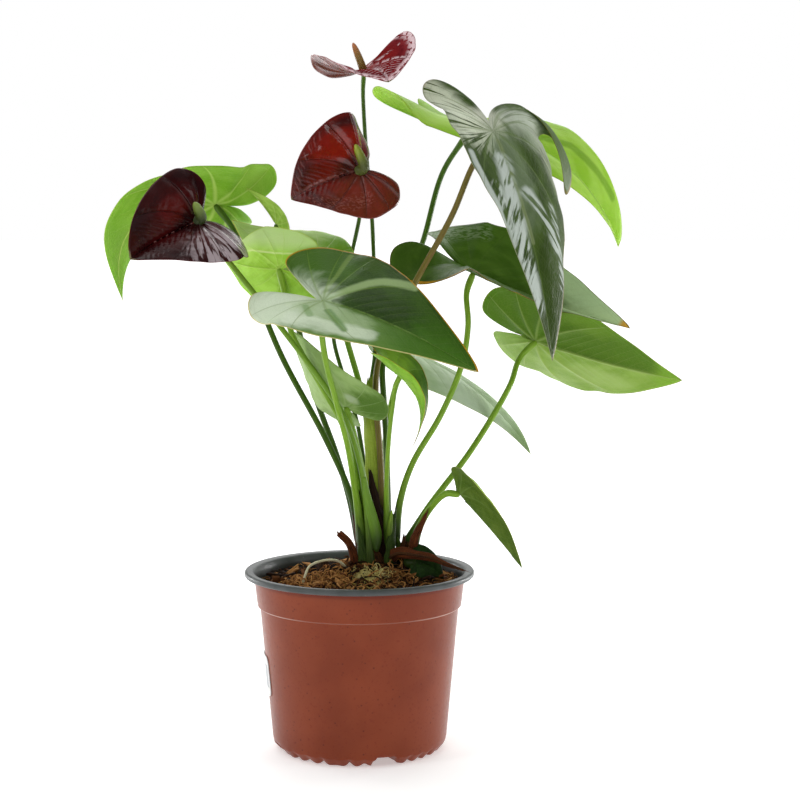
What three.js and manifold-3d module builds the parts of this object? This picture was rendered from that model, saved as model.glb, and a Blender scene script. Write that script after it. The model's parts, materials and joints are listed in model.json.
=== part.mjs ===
// A potted anthurium: one plant with fourteen leaves and three dark red blooms, in a 17 cm nursery pot
// filled with coir. Millimetres, +Z up, the origin in the middle of the pot's foot, the front at -Y.
import * as THREE from 'three';
import { mergeVertices } from 'three/addons/utils/BufferGeometryUtils.js';
import Module from 'manifold-3d';

const wasm = await Module();
wasm.setup();

// ---------------------------------------------------------------- sizes
const GAP = 0.3; // air between two pieces that touch on the real plant
const POT = {
  rim: 85, height: 134, opening: 78.3, lip: 4.2, wall: 1.5, segments: 40,
  neck: 78.3, collarFoot: 75.4, collarAt: 107, bodyTop: 73.5, bodyFoot: 64.5, chamfer: 6, foot: 59,
};
const CHANNEL = { count: 4, width: 17, height: 7.6, from: 14, turn: -71.5, hole: 3.5, holeAt: 38 };
const LABEL = { width: 45, height: 30, corner: 5, middle: 57, thick: 0.5 };
const SOIL = { edge: 122, mound: 13, spread: 42, chip: 1.7, rings: 8, segments: 32 };
const CROWN = { x: 11, y: 13 };
const SIDE_CROWN = { x: 35, y: 9 };
const BLADE = { thick: 0.9, rings: 3, perSpan: 2, heart: 0.14, joint: 0.05 };
const STALK = { sides: 6, steps: 12, base: 3.1, middle: 2.15, neck: 2.6, sunk: 0.6 };

// One half of a leaf's outline, from the notch at its stalk to its tip: across in half widths, along in
// lengths from the stalk to the tip. The first points are stretched to the depth of the back lobe.
const LOBE_OUTLINE = [[0, 0], [0, -0.5], [0.25, -1], [0.78, -0.72]];
const SIDE_OUTLINE = [[1, 0.03], [0.9, 0.28], [0.58, 0.57], [0.23, 0.83], [0.06, 0.96], [0, 1]];

// ---------------------------------------------------------------- the plant
// hub: where the stalk meets the blade; tip: the blade's point; roll: degrees that the upper face is turned
// about the line from hub to tip; arch and sweep: how far the midrib bows up and sideways; twist: degrees from
// hub to tip; fold and curl: degrees that the left and right halves rise at the midrib, and from there to the
// edge; lobe: the back lobes' depth in blade lengths; gap: the notch between them; full: under 1 for a fuller
// side; lift, splay and lobeTwist: degrees that the lobes rise, spread and turn; rings: rows of faces from the
// heart to the edge; stalk: its route up from the crown; slim: under 1 for a thinner one. Where a value is a
// pair, the left half comes first.
const LEAVES = [
  {
    name: 'leaf_front', colour: 0x4f7d3c, hub: [-28, -80, 338], tip: [83, -132, 292],
    width: [97, 86], roll: 49, arch: 29, sweep: 4, twist: 4,
    fold: [1, 33], curl: [-10, -20], lobe: [0.33, 0.34], gap: [0.17, 0.08], full: [0.84, 0.89],
    lift: [13, 28], splay: [3, -7], lobeTwist: [13, 23],
    stalk: [[3, 3, 149], [-3, -11, 194], [-8, -30, 230], [-15, -47, 261], [-23, -66, 298], [-25, -76, 322]],
  },
  {
    name: 'leaf_tall', colour: 0x3c5a40, hub: [92, -50, 461], tip: [134, -114, 298],
    width: [138, 86], roll: 32, arch: 29, sweep: -12, twist: -15,
    fold: [-30, 40], curl: [-50, 10], lobe: [0.43, 0.26], gap: [0.18, 0.13], full: [0.98, 1.04],
    lift: [-60, 31], splay: [139, 2], lobeTwist: [-15, 44],
    stalk: [[18, 11, 148], [15, 4, 221], [12, 0, 267], [15, -10, 292], [40, -33, 346], [67, -43, 396],
      [81, -48, 430]],
  },
  {
    name: 'leaf_right', colour: 0x7fae52, hub: [128, 62, 300], tip: [239, 13, 273],
    width: [108, 105], roll: -53, arch: -5, sweep: -2, twist: -16,
    fold: [6, -1], curl: [25, 2], lobe: [0.28, 0.3], gap: [0.08, 0.03], full: [0.94, 1.03],
    lift: [18, -17], splay: [-16, 12], lobeTwist: [-8, -1],
    stalk: [[33, 13, 148], [52, 14, 179], [83, 20, 220], [112, 36, 266], [121, 56, 286]],
  },
  {
    name: 'leaf_dark_right', colour: 0x35562e, hub: [78, 15, 355], tip: [198, -7, 312],
    width: [105, 104], roll: -4, arch: -6, sweep: -10, twist: 12,
    fold: [44, 5], curl: [8, -4], lobe: [0.34, 0.45], gap: [0.08, 0.03], full: [0.87, 1.13],
    lift: [59, 29], splay: [18, -7], lobeTwist: [-42, 58],
    stalk: [[26, 14, 149], [30, 12, 183], [39, 9, 211], [60, 5, 248], [75, 5, 284], [80, 9, 314],
      [79, 13, 338]],
  },
  {
    name: 'leaf_back_top', colour: 0x86b84a, hub: [72, 106, 456], tip: [201, 125, 367],
    width: [116, 137], roll: 40, arch: 70, sweep: 12, twist: 37,
    fold: [5, 63], curl: [-46, -65], lobe: [0.29, 0.39], gap: [0.07, 0.21], full: [0.71, 0.85],
    lift: [47, -3], splay: [28, 2], lobeTwist: [-9, -30],
    stalk: [[21, 21, 148], [20, 21, 218], [18, 22, 255], [17, 25, 285], [30, 60, 327], [48, 108, 373],
      [63, 120, 425]],
  },
  {
    name: 'leaf_left', colour: 0x7db446, hub: [-99, 40, 401], tip: [-180, 57, 329],
    width: [84, 81], roll: -56, arch: 83, sweep: 18, twist: -30,
    fold: [-50, 52], curl: [-90, 55], lobe: [0.24, 0.34], gap: [0.05, 0.06], full: [1.19, 1.25],
    lift: [-28, 32], splay: [12, -26], lobeTwist: [-37, 34],
    stalk: [[1, 16, 146], [-7, 18, 186], [-25, 22, 227], [-60, 33, 292], [-84, 40, 353], [-94, 42, 382]],
  },
  {
    name: 'leaf_pale_back', colour: 0x9fc46a, rings: 2, hub: [-27, -4, 363], tip: [-93, 6, 391], width: 62,
    roll: -44, arch: -6, sweep: -9, twist: -2, fold: [4, 4], curl: [-30, -26], lobe: 0.33, gap: 0.1, lift: -40,
    stalk: [[8, 17, 148], [7, 19, 196], [4, 17, 250], [-7, 9, 295], [-20, 1, 338]],
  },
  {
    name: 'leaf_pale_under', colour: 0xb7cf62, rings: 2, hub: [-54, -31, 357], tip: [-101, 12, 364], width: 64,
    roll: 79, arch: -8, sweep: 3, twist: -1, fold: [3, 4], curl: [-16, -18], lobe: 0.45, gap: 0.16, lift: 18,
    stalk: [[4, 10, 148], [-1, -2, 199], [-11, -18, 241], [-28, -32, 275], [-48, -34, 312], [-53, -33, 342]],
  },
  {
    name: 'leaf_front_small', colour: 0x4c7a34, rings: 2, hub: [28, -45, 284], tip: [38, -41, 229], width: 54,
    roll: 29, arch: 23, sweep: -3, twist: 1, fold: [-6, -2], curl: [56, 60], lobe: 0.45, gap: 0.08, lift: 0,
    stalk: [[21, 5, 149], [20, -8, 194], [22, -26, 236], [25, -38, 262], [27, -43, 275]],
  },
  {
    name: 'leaf_low_left', colour: 0x5b7f55, rings: 2, hub: [-7, -16, 254], tip: [-49, -12, 310], width: 62,
    roll: -82, arch: 24, sweep: -9, twist: -15, fold: [-62, 40], curl: [-2, 0], lobe: 0.32, gap: 0.09,
    full: 0.65, lift: 5,
    stalk: [[12, 4, 148], [6, -3, 187], [0, -9, 219], [-5, -13, 241]],
  },
  {
    name: 'leaf_pale_right', colour: 0xa9c39c, rings: 2, hub: [36, 62, 290], tip: [128, 31, 215], width: 76,
    roll: -6, arch: 19, sweep: -10, twist: 23, fold: [2, 6], curl: [-45, -58], lobe: 0.23, gap: 0.24, lift: 2,
    stalk: [[17, 29, 131], [16, 37, 181], [19, 47, 226], [29, 58, 270]],
  },
  {
    name: 'leaf_low_right', colour: 0x4e7c35, rings: 2, hub: [71, -20, 195], tip: [119, -26, 139], width: 60,
    roll: -4, arch: 2, sweep: 6, twist: -1, fold: [50, 58], curl: [-50, -50], lobe: 0.18, gap: 0.2, lift: -5,
    stalk: [[39, 5, 146], [44, -2, 165], [53, -12, 182], [64, -19, 193]],
  },
  {
    name: 'leaf_at_rim', colour: 0x36502a, rings: 2, hub: [41, -9, 141], tip: [62, -10, 128], width: 27,
    roll: 62, arch: 3, sweep: -5, twist: 0, fold: [8, 8], curl: [-15, -15], lobe: 0.12, gap: 0.12, lift: 0,
    stalk: [[34, 0, 142], [38, -6, 139]],
  },
  {
    name: 'leaf_left_small', colour: 0x8fae5a, rings: 2, hub: [-61, 26, 386], tip: [-84, 33, 414], width: 26,
    roll: 40, arch: 4, sweep: 0, twist: 0, fold: [30, 30], curl: [-10, -10], lobe: 0.3, gap: 0.14, lift: 0,
    stalk: [[0, 23, 147], [-7, 29, 178], [-18, 34, 215], [-34, 36, 260], [-49, 34, 324], [-58, 28, 370]],
  },
];

const BLOOMS = [
  {
    name: 'top', colour: 0x7c2f3c, spadixColour: 0x8c6a2c, spadixTip: [-4, 0, 519], spadixRadius: 3, slim: 0.7,
    hub: [2, 0, 498], tip: [22, -70, 488], width: [88, 87], roll: 20, arch: 4, sweep: -10, twist: 1,
    fold: [7, 10], curl: [28, 53], lobe: [0.27, 0.21], gap: [0.08, 0.1], full: [0.79, 0.84],
    lift: [-60, -33], splay: [-9, 29], lobeTwist: [0, -4],
    stalk: [[14, 22, 148], [14, 26, 190], [12, 28, 220], [8, 29, 265], [11, 28, 290], [11, 26, 340],
      [9, 25, 395], [5, 22, 442], [3, 8, 484]],
  },
  {
    name: 'middle', colour: 0x6d1f1d, spadixColour: 0x7d8a3c, spadixTip: [-2, -20, 446], spadixRadius: 4,
    slim: 0.7,
    hub: [4, -10, 428], tip: [-46, -59, 407], width: [74, 86], roll: -68, arch: -13, sweep: 6, twist: 9,
    fold: [6, 7], curl: [-4, 16], lobe: [0.31, 0.2], gap: [0.12, 0.17], full: [0.93, 0.88],
    lift: [-16, -97], splay: [20, 14], lobeTwist: [-4, 29],
    stalk: [[7, 27, 148], [4, 28, 198], [-2, 28, 239], [-12, 29, 273], [-20, 29, 310], [-5, 18, 369],
      [2, 2, 406]],
  },
  {
    name: 'left', colour: 0x3d1418, spadixColour: 0x5f6f38, spadixTip: [-114, -60, 405], spadixRadius: 4.3,
    slim: 0.9,
    hub: [-111, -45, 392], tip: [-154, -104, 367], width: [95, 81], roll: -57, arch: -5, sweep: 5, twist: -2,
    fold: [39, 31], curl: [-25, -28], lobe: [0.27, 0.16], gap: [0.19, 0.2], full: [0.73, 0.51],
    lift: [14, 71], splay: [29, 41], lobeTwist: [-30, 6],
    stalk: [[9, -4, 131], [4, -10, 193], [0, -17, 217], [-9, -31, 248], [-26, -42, 277], [-54, -45, 315],
      [-91, -43, 362]],
  },
];

// ---------------------------------------------------------------- helpers
const radians = THREE.MathUtils.degToRad;
const lerp = THREE.MathUtils.lerp;
const vector = (p) => new THREE.Vector3(...p);

// A number between 0 and 1 that looks random but is the same for the same place.
function speckle(x, y) {
  const value = Math.sin(x * 12.9898 + y * 78.233) * 43758.5453;
  return value - Math.floor(value);
}

// A closed body for cutting and joining, from a three.js geometry.
function solid(geometry) {
  const plain = geometry.clone();
  plain.deleteAttribute('normal');
  plain.deleteAttribute('uv');
  const merged = mergeVertices(plain, 1e-4);
  const triangles = [];
  const index = merged.index.array;
  for (let i = 0; i < index.length; i += 3) {
    const [a, b, c] = [index[i], index[i + 1], index[i + 2]];
    if (a !== b && b !== c && c !== a) triangles.push(a, b, c);
  }
  return new wasm.Manifold(new wasm.Mesh({
    numProp: 3,
    vertProperties: new Float32Array(merged.attributes.position.array),
    triVerts: new Uint32Array(triangles),
  }));
}

// The largest connected piece of a solid, where a cut has left crumbs.
function largest(body) {
  return body.decompose().sort((a, b) => b.volume() - a.volume())[0];
}

// A three.js geometry from a closed body.
function geometryOf(body) {
  const mesh = body.getMesh();
  const geometry = new THREE.BufferGeometry();
  geometry.setAttribute('position', new THREE.BufferAttribute(new Float32Array(mesh.vertProperties), 3));
  geometry.setIndex(Array.from(mesh.triVerts));
  return geometry;
}

function closedGeometry(points, triangles) {
  const geometry = new THREE.BufferGeometry();
  const numbers = points.flatMap((p) => p.toArray());
  geometry.setAttribute('position', new THREE.Float32BufferAttribute(numbers, 3));
  geometry.setIndex(triangles);
  return geometry;
}

// A profile of [radius, height] points turned about the Z axis.
function turned(profile, segments = POT.segments) {
  const points = profile.map(([r, z]) => new THREE.Vector2(r, z));
  return new THREE.LatheGeometry(points, segments).rotateX(Math.PI / 2);
}

// A rod along a smooth route; radiusAt(t, corner) gives its radius at t from 0 to 1, flat squeezes it.
function sweep(route, radiusAt, { sides = STALK.sides, steps = STALK.steps, flat = 1 } = {}) {
  const curve = new THREE.CatmullRomCurve3(route.map(vector), false, 'centripetal');
  const frames = curve.computeFrenetFrames(steps, false);
  const points = [];
  const triangles = [];
  for (let i = 0; i <= steps; i += 1) {
    const centre = curve.getPointAt(i / steps);
    for (let j = 0; j < sides; j += 1) {
      const angle = (2 * Math.PI * j) / sides;
      const radius = radiusAt(i / steps, i + j);
      points.push(centre.clone()
        .addScaledVector(frames.normals[i], Math.cos(angle) * radius)
        .addScaledVector(frames.binormals[i], Math.sin(angle) * radius * flat));
    }
  }
  for (let i = 0; i < steps; i += 1) {
    for (let j = 0; j < sides; j += 1) {
      const [a, b] = [i * sides + j, i * sides + ((j + 1) % sides)];
      triangles.push(a, b, b + sides, a, b + sides, a + sides);
    }
  }
  const [start, end] = [points.length, points.length + 1];
  points.push(curve.getPointAt(0), curve.getPointAt(1));
  for (let j = 0; j < sides; j += 1) {
    const k = (j + 1) % sides;
    triangles.push(start, k, j, end, steps * sides + j, steps * sides + k);
  }
  return closedGeometry(points, triangles);
}

// ---------------------------------------------------------------- blades
// A value of the left half (0) or the right half (1), where the two halves differ.
const onSide = (value, which) => (Array.isArray(value) ? value[which] : value);

// Half of the outline of a heart-shaped blade, from the notch round its side to the tip.
function halfOutline(spec, which) {
  const [lobe, gap, full] = [spec.lobe, spec.gap, spec.full || 1].map((value) => onSide(value, which));
  const half = [
    ...LOBE_OUTLINE.map(([x, y], i) => [i === 1 || i === 2 ? x + gap : x, y * lobe]),
    ...SIDE_OUTLINE.map(([x, y]) => [x ** full, y]),
  ];
  const curve = new THREE.SplineCurve(half.map(([x, y]) => new THREE.Vector2(x, y)));
  return curve.getPoints((half.length - 1) * BLADE.perSpan);
}

// The closed outline, from the notch round the right half to the tip and back round the left half.
function outline(spec) {
  const left = halfOutline(spec, 0).slice(1, -1).reverse();
  return [...halfOutline(spec, 1), ...left.map((p) => new THREE.Vector2(-p.x, p.y))];
}

// The frame of a blade: its length and the directions along, up and to the right.
function bladeFrame(spec) {
  const [hub, tip] = [vector(spec.hub), vector(spec.tip)];
  const along = tip.clone().sub(hub);
  const length = along.length();
  along.normalize();
  const level = new THREE.Vector3(0, 0, 1).addScaledVector(along, -along.z).normalize();
  const side = along.clone().cross(level);
  const roll = radians(spec.roll);
  const up = level.multiplyScalar(Math.cos(roll)).addScaledVector(side, Math.sin(roll));
  const right = along.clone().cross(up);
  const bow = hub.clone().add(tip).multiplyScalar(0.5)
    .addScaledVector(up, spec.arch).addScaledVector(right, spec.sweep);
  return { hub, tip, bow, length, up };
}

// The place on a blade of a point of its flat outline: x in half widths, y in lengths.
function onBlade(spec, frame, x, y) {
  const { hub, tip, bow, length, up } = frame;
  const t = Math.min(Math.max(y, 0), 1);
  const place = hub.clone().multiplyScalar((1 - t) ** 2)
    .addScaledVector(bow, 2 * t * (1 - t)).addScaledVector(tip, t * t);
  const along = bow.clone().sub(hub).multiplyScalar(1 - t)
    .addScaledVector(tip.clone().sub(bow), t).normalize();
  const level = up.clone().addScaledVector(along, -along.dot(up)).normalize();
  const side = along.clone().cross(level);
  const which = x > 0 ? 1 : 0;
  const lobe = Math.max(-y, 0) / 0.3;
  const turn = radians(spec.twist * t + onSide(spec.lobeTwist || 0, which) * lobe);
  const normal = level.clone().multiplyScalar(Math.cos(turn)).addScaledVector(side, Math.sin(turn));
  const right = side.clone().multiplyScalar(Math.cos(turn)).addScaledVector(level, -Math.sin(turn));
  const back = Math.max(-y, 0) * length;
  const rise = radians(onSide(spec.lift, which)) * lobe * 0.5;
  const spread = radians(onSide(spec.splay || 0, which)) * lobe * 0.5 * Math.sign(x);
  const behind = along.multiplyScalar(-Math.cos(spread)).addScaledVector(right, Math.sin(spread));
  place.addScaledVector(behind, back * Math.cos(rise)).addScaledVector(normal, back * Math.sin(rise));
  const half = onSide(spec.width, which) / 2;
  const fold = radians(spec.fold[which]);
  const bend = (radians(spec.curl[which]) || 1e-6) / half;
  const reach = Math.abs(x) * half;
  const out = (Math.sin(fold + bend * reach) - Math.sin(fold)) / bend;
  const high = (Math.cos(fold) - Math.cos(fold + bend * reach)) / bend;
  return place.addScaledVector(right, Math.sign(x) * out).addScaledVector(normal, high);
}

// A blade as rings of its outline about its heart, alike on both faces. The veins run out from the heart to
// the outline and the leaf swells between them.
function blade(spec, thick = BLADE.thick, swell = 0) {
  const rings = spec.rings || BLADE.rings;
  const edge = outline(spec);
  const count = edge.length;
  const heart = new THREE.Vector2(0, BLADE.heart);
  const frame = bladeFrame(spec);
  const middle = [onBlade(spec, frame, heart.x, heart.y)];
  const lift = [0];
  for (let ring = 1; ring <= rings; ring += 1) {
    edge.forEach((p, i) => {
      const flat = heart.clone().lerp(p, ring / rings);
      middle.push(onBlade(spec, frame, flat.x, flat.y));
      lift.push(ring < rings ? (i % 2 ? swell : -swell) : 0);
    });
  }
  const face = [];
  for (let i = 0; i < count; i += 1) {
    const j = (i + 1) % count;
    face.push([0, 1 + i, 1 + j]);
    for (let ring = 0; ring < rings - 1; ring += 1) {
      const [a, b] = [1 + ring * count + i, 1 + ring * count + j];
      face.push([a, a + count, b], [b, a + count, b + count]);
    }
  }
  const normals = closedGeometry(middle, face.flat());
  normals.computeVertexNormals();
  const normalAt = (i) => new THREE.Vector3().fromBufferAttribute(normals.attributes.normal, i);
  const facing = middle.map((p, i) => p.clone().addScaledVector(normalAt(i), lift[i] + thick / 2));
  const behind = middle.map((p, i) => p.clone().addScaledVector(normalAt(i), lift[i] - thick / 2));
  const total = middle.length;
  const rim = 1 + (rings - 1) * count;
  const triangles = face.flatMap(([a, b, c]) => [a, b, c, total + a, total + c, total + b]);
  for (let i = 0; i < count; i += 1) {
    const [a, b] = [rim + i, rim + ((i + 1) % count)];
    triangles.push(a, total + b, b, a, total + a, total + b);
  }
  return closedGeometry([...facing, ...behind], triangles);
}

// ---------------------------------------------------------------- stalks, leaves and blooms
function stalkRadius(t) {
  if (t < 0.12) return lerp(STALK.base, STALK.middle, t / 0.12);
  return lerp(STALK.middle, STALK.neck, Math.max((t - 0.88) / 0.12, 0));
}

// The place where the stalk meets the blade, just in front of the notch, moved along the blade's up.
function joint(spec, height) {
  const frame = bladeFrame(spec);
  return onBlade(spec, frame, 0, BLADE.joint).addScaledVector(frame.up, height).toArray();
}

// A stalk, or with grow the room that it needs in the crown and the soil.
function stalk(spec, height = STALK.sunk, grow = 0) {
  const [[x, y, z], ...route] = spec.stalk;
  const radiusAt = (t) => stalkRadius(t) * (spec.slim || 1) + grow;
  return sweep([[x, y, z - grow], ...route, joint(spec, height)], radiusAt);
}

function leaf(spec) {
  return largest(solid(blade(spec, BLADE.thick, 0.25)).add(solid(stalk(spec))));
}

const spathe = (spec) => solid(blade(spec, BLADE.thick, 0.5));

// A spathe grown by the gap, which its stalk and its spadix are cut back by.
const spatheRoom = (spec) => solid(blade(spec, BLADE.thick + 2 * GAP + 0.2, 0.5));

const bloomStalk = (spec) => largest(solid(stalk(spec, -BLADE.thick)).subtract(spatheRoom(spec)));

// The spadix: a blunt spike with florets that stand out of it in a net.
function spadix(spec) {
  const radiusAt = (t, corner) => {
    const body = spec.spadixRadius * Math.sqrt(Math.max(1 - t ** 4, 0.12)) * lerp(1, 0.8, t);
    return body * (corner % 2 ? 1 : 0.86);
  };
  const body = solid(sweep([joint(spec, BLADE.thick), spec.spadixTip], radiusAt, { sides: 8, steps: 12 }));
  return largest(body.subtract(spatheRoom(spec)));
}

// ---------------------------------------------------------------- pot, label and soil
function channels(extra = 0) {
  const { count, width, height, from, turn } = CHANNEL;
  const reach = POT.rim;
  let all = null;
  for (let i = 0; i < count; i += 1) {
    const box = new THREE.BoxGeometry(reach - from + extra, width + 2 * extra, 2 * (height + extra));
    box.translate((reach + from - extra) / 2, 0, 0).rotateZ(radians(turn + (360 / count) * i));
    all = all ? all.add(solid(box)) : solid(box);
  }
  return all;
}

function drainHoles() {
  const { count, turn, hole, holeAt } = CHANNEL;
  let all = null;
  for (let i = 0; i < count; i += 1) {
    const rod = new THREE.CylinderGeometry(hole, hole, 24, 12).rotateX(Math.PI / 2);
    rod.translate(holeAt, 0, 0).rotateZ(radians(turn + (360 / count) * i));
    all = all ? all.add(solid(rod)) : solid(rod);
  }
  return all;
}

// The pot's inside, or the soil's outside when it is drawn in by a gap.
function insideProfile(inset, topHeight, topRadius) {
  const { wall, foot, chamfer, bodyFoot, bodyTop, collarFoot, collarAt } = POT;
  const shrink = wall + inset;
  return [
    [0, shrink], [foot - shrink, shrink], [bodyFoot - shrink, chamfer + shrink],
    [bodyTop - shrink, collarAt + shrink], [collarFoot - shrink, collarAt + shrink + 1.2],
    [topRadius, topHeight],
  ];
}

function pot() {
  const { rim, height, opening, lip, neck, collarFoot, collarAt, bodyTop, bodyFoot, chamfer, foot } = POT;
  const outside = solid(turned([
    [0, 0], [foot, 0], [bodyFoot, chamfer], [bodyTop, collarAt], [collarFoot, collarAt],
    [neck, height - lip - 1.4], [neck, height - lip], [rim - 0.8, height - lip], [rim, height - lip + 1.2],
    [rim - 0.3, height - 1], [rim - 1.4, height], [0, height],
  ]));
  const ledge = height - lip + POT.wall;
  const mouth = [[opening, ledge + 0.5], [opening, height + 1], [0, height + 1]];
  const inside = solid(turned([...insideProfile(0, ledge, opening - 1.6), ...mouth]));
  return outside.subtract(inside.subtract(channels(POT.wall))).subtract(channels()).subtract(drainHoles());
}

function label() {
  const { width, height, corner, middle, thick } = LABEL;
  const { bodyTop, bodyFoot, chamfer, collarAt } = POT;
  const radiusAt = (z) => lerp(bodyFoot, bodyTop, (z - chamfer) / (collarAt - chamfer)) + GAP;
  const [low, high] = [middle - height / 2 - 1, middle + height / 2 + 1];
  const ring = solid(turned([
    [radiusAt(low), low], [radiusAt(low) + thick, low],
    [radiusAt(high) + thick, high], [radiusAt(high), high],
    [radiusAt(low), low],
  ]));
  const shape = new THREE.Shape();
  const [w, h] = [width / 2, height / 2];
  shape.moveTo(-w + corner, -h);
  shape.lineTo(w - corner, -h).absarc(w - corner, -h + corner, corner, -Math.PI / 2, 0);
  shape.lineTo(w, h - corner).absarc(w - corner, h - corner, corner, 0, Math.PI / 2);
  shape.lineTo(-w + corner, h).absarc(-w + corner, h - corner, corner, Math.PI / 2, Math.PI);
  shape.lineTo(-w, -h + corner).absarc(-w + corner, -h + corner, corner, Math.PI, 1.5 * Math.PI);
  const cutter = new THREE.ExtrudeGeometry(shape, { depth: POT.rim, bevelEnabled: false, curveSegments: 3 });
  cutter.rotateX(Math.PI / 2).rotateZ(-Math.PI / 2).translate(0, 0, middle);
  return ring.intersect(solid(cutter));
}

// Height of the soil: a mound about the crown that falls to the wall, roughened by chips.
function soilHeight(x, y, chips = SOIL.chip) {
  const far = Math.hypot(x - CROWN.x, y - CROWN.y);
  const mound = SOIL.mound * Math.exp(-((far / SOIL.spread) ** 2));
  return SOIL.edge + mound + chips * (speckle(Math.round(x), Math.round(y)) * 2 - 1);
}

function soil(holes) {
  const edge = POT.opening - POT.wall - 2 * GAP - 1.8;
  const rings = [...Array(SOIL.rings).keys()].map((i) => [(edge - 2) * (1 - i / SOIL.rings), SOIL.edge]);
  const profile = [...insideProfile(GAP, SOIL.edge - 1, edge), ...rings, [0, SOIL.edge]];
  const geometry = turned(profile, SOIL.segments);
  const at = geometry.attributes.position;
  for (let i = 0; i < at.count; i += 1) {
    if (at.getZ(i) > SOIL.edge - 0.01) at.setZ(i, soilHeight(at.getX(i), at.getY(i)));
  }
  const body = solid(geometry).subtract(channels(POT.wall + GAP));
  return largest(body.subtract(holes));
}

// ---------------------------------------------------------------- crown and dry pieces
function lump({ x, y }, profile) {
  return solid(turned(profile, 14).translate(x, y, 0));
}

// Dry brown bracts that stand up from the crown between the stalks.
const BRACTS = [
  [[4, 3, 140], [0, -1, 172], [-2, -2, 190], [-1, -3, 205]],
  [[14, 3, 140], [15, 1, 165], [10, -1, 190], [8, 0, 205]],
  [[20, 6, 140], [20, 3, 165], [19, 4, 184]],
];

function crown(room) {
  let body = lump(CROWN, [[0, 118], [11, 118], [13, 136], [12.5, 146], [10.5, 154], [7, 162], [0, 167]]);
  for (const route of BRACTS) {
    body = body.add(solid(sweep(route, (t) => lerp(3.4, 0.8, t), { sides: 5, steps: 5, flat: 0.45 })));
  }
  return largest(body.subtract(room));
}

function sideCrown(room) {
  let body = lump(SIDE_CROWN, [[0, 122], [6, 122], [7.4, 138], [6.4, 147], [3.5, 152], [0, 154]]);
  const bud = sweep([[29, 9, 140], [29, 8, 150], [28, 7, 156]], (t) => lerp(2.6, 1, t), { steps: 4 });
  body = body.add(solid(bud));
  return largest(body.subtract(room));
}

// ---------------------------------------------------------------- the object
const object = new THREE.Group();
object.name = 'potted_anthurium';

function place(name, body, colour, roughness = 0.6, metalness = 0) {
  const material = new THREE.MeshStandardMaterial({ color: colour, roughness, metalness });
  const mesh = new THREE.Mesh(geometryOf(body), material);
  mesh.name = name;
  object.add(mesh);
}

const joined = (bodies) => bodies.reduce((all, one) => all.add(one));
const stalkRoom = joined([...LEAVES, ...BLOOMS].map((spec) => solid(stalk(spec, STALK.sunk, GAP))));

// Sheaths that stand up from the crown, a cut stub, a dry strip and a root in the air, each with its radius
// from base to end.
const EXTRAS = {
  sheath_pale: {
    route: [[11, 11, 158], [8, 9, 218], [6, 7, 244], [8, 6, 274]],
    radius: [3, 1], colour: 0xa3a55c,
  },
  sheath_brown: {
    route: [[15, 17, 158], [15, 14, 217], [14, 14, 243], [11, 14, 270]],
    radius: [1.8, 1], colour: 0x7a5236,
  },
  cut_stub: {
    route: [[-3, 2, 134], [-8, -1, 152], [-16, -4, 161]],
    radius: [3, 2.2], colour: 0x5a3222,
  },
  dry_sheath: {
    route: [[18, 4, 139], [29, -9, 147], [42, -17, 147], [54, -19, 145], [64, -21, 141], [76, -22, 136.4]],
    radius: [2.6, 1.4], colour: 0x6b4027,
  },
  aerial_root: {
    route: [[-42, -31, 124], [-39, -28, 134], [-36, -24, 140], [-27, -18, 143], [-16, -12, 142], [-8, -5, 134]],
    radius: [0.9, 1.1], colour: 0xd8cfa8,
  },
};

function extra({ route, radius }, grow = 0) {
  const options = { sides: 6, steps: 10, flat: grow ? 1 : 0.8 };
  return solid(sweep(route, (t) => lerp(radius[0], radius[1], t) + grow, options));
}

const extraRoom = joined(Object.values(EXTRAS).map((one) => extra(one, GAP)));
const room = stalkRoom.add(extraRoom);
const crownRoom = lump(CROWN, [[0, 117.5], [11.4, 117.5], [13.4, 136], [12.9, 146], [0, 167]])
  .add(lump(SIDE_CROWN, [[0, 121.5], [6.4, 121.5], [7.8, 138], [6.8, 147], [0, 154]]));

place('pot', pot(), 0x9c4a30, 0.5);
place('label', label(), 0xdcd8d0, 0.7);
place('soil', soil(crownRoom.add(room)), 0x7a5a3c, 0.95);
place('crown', crown(room), 0x4a2e20, 0.85);
place('side_crown', sideCrown(room), 0x57492b, 0.8);
for (const [name, one] of Object.entries(EXTRAS)) place(name, largest(extra(one)), one.colour, 0.8);
for (const spec of LEAVES) place(spec.name, leaf(spec), spec.colour, 0.4);
for (const spec of BLOOMS) {
  place(`bloom_${spec.name}_stalk`, bloomStalk(spec), 0x4c6b38, 0.5);
  place(`bloom_${spec.name}_spathe`, spathe(spec), spec.colour, 0.25);
  place(`bloom_${spec.name}_spadix`, spadix(spec), spec.spadixColour, 0.6);
}

export default object;
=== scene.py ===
"""The looks of the potted anthurium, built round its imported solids. Sizes are in millimetres up to the moment
that a mesh is made, +Z is up and the front is at -Y."""
import json
import math

import bpy
import numpy as np
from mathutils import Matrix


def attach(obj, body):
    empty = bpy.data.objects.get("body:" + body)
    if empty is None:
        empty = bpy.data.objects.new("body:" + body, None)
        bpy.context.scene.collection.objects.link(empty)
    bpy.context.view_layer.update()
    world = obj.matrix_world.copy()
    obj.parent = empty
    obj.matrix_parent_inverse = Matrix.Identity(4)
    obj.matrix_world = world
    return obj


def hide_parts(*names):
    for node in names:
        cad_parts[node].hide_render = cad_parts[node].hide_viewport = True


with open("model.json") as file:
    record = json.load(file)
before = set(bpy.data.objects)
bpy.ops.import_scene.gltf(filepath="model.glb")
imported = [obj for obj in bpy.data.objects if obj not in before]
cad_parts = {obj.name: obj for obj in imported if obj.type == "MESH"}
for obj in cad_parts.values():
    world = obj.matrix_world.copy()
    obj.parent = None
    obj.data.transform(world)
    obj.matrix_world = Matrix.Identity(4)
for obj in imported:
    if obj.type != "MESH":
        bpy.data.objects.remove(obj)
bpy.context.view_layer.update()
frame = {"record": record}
MM = 0.001
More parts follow.
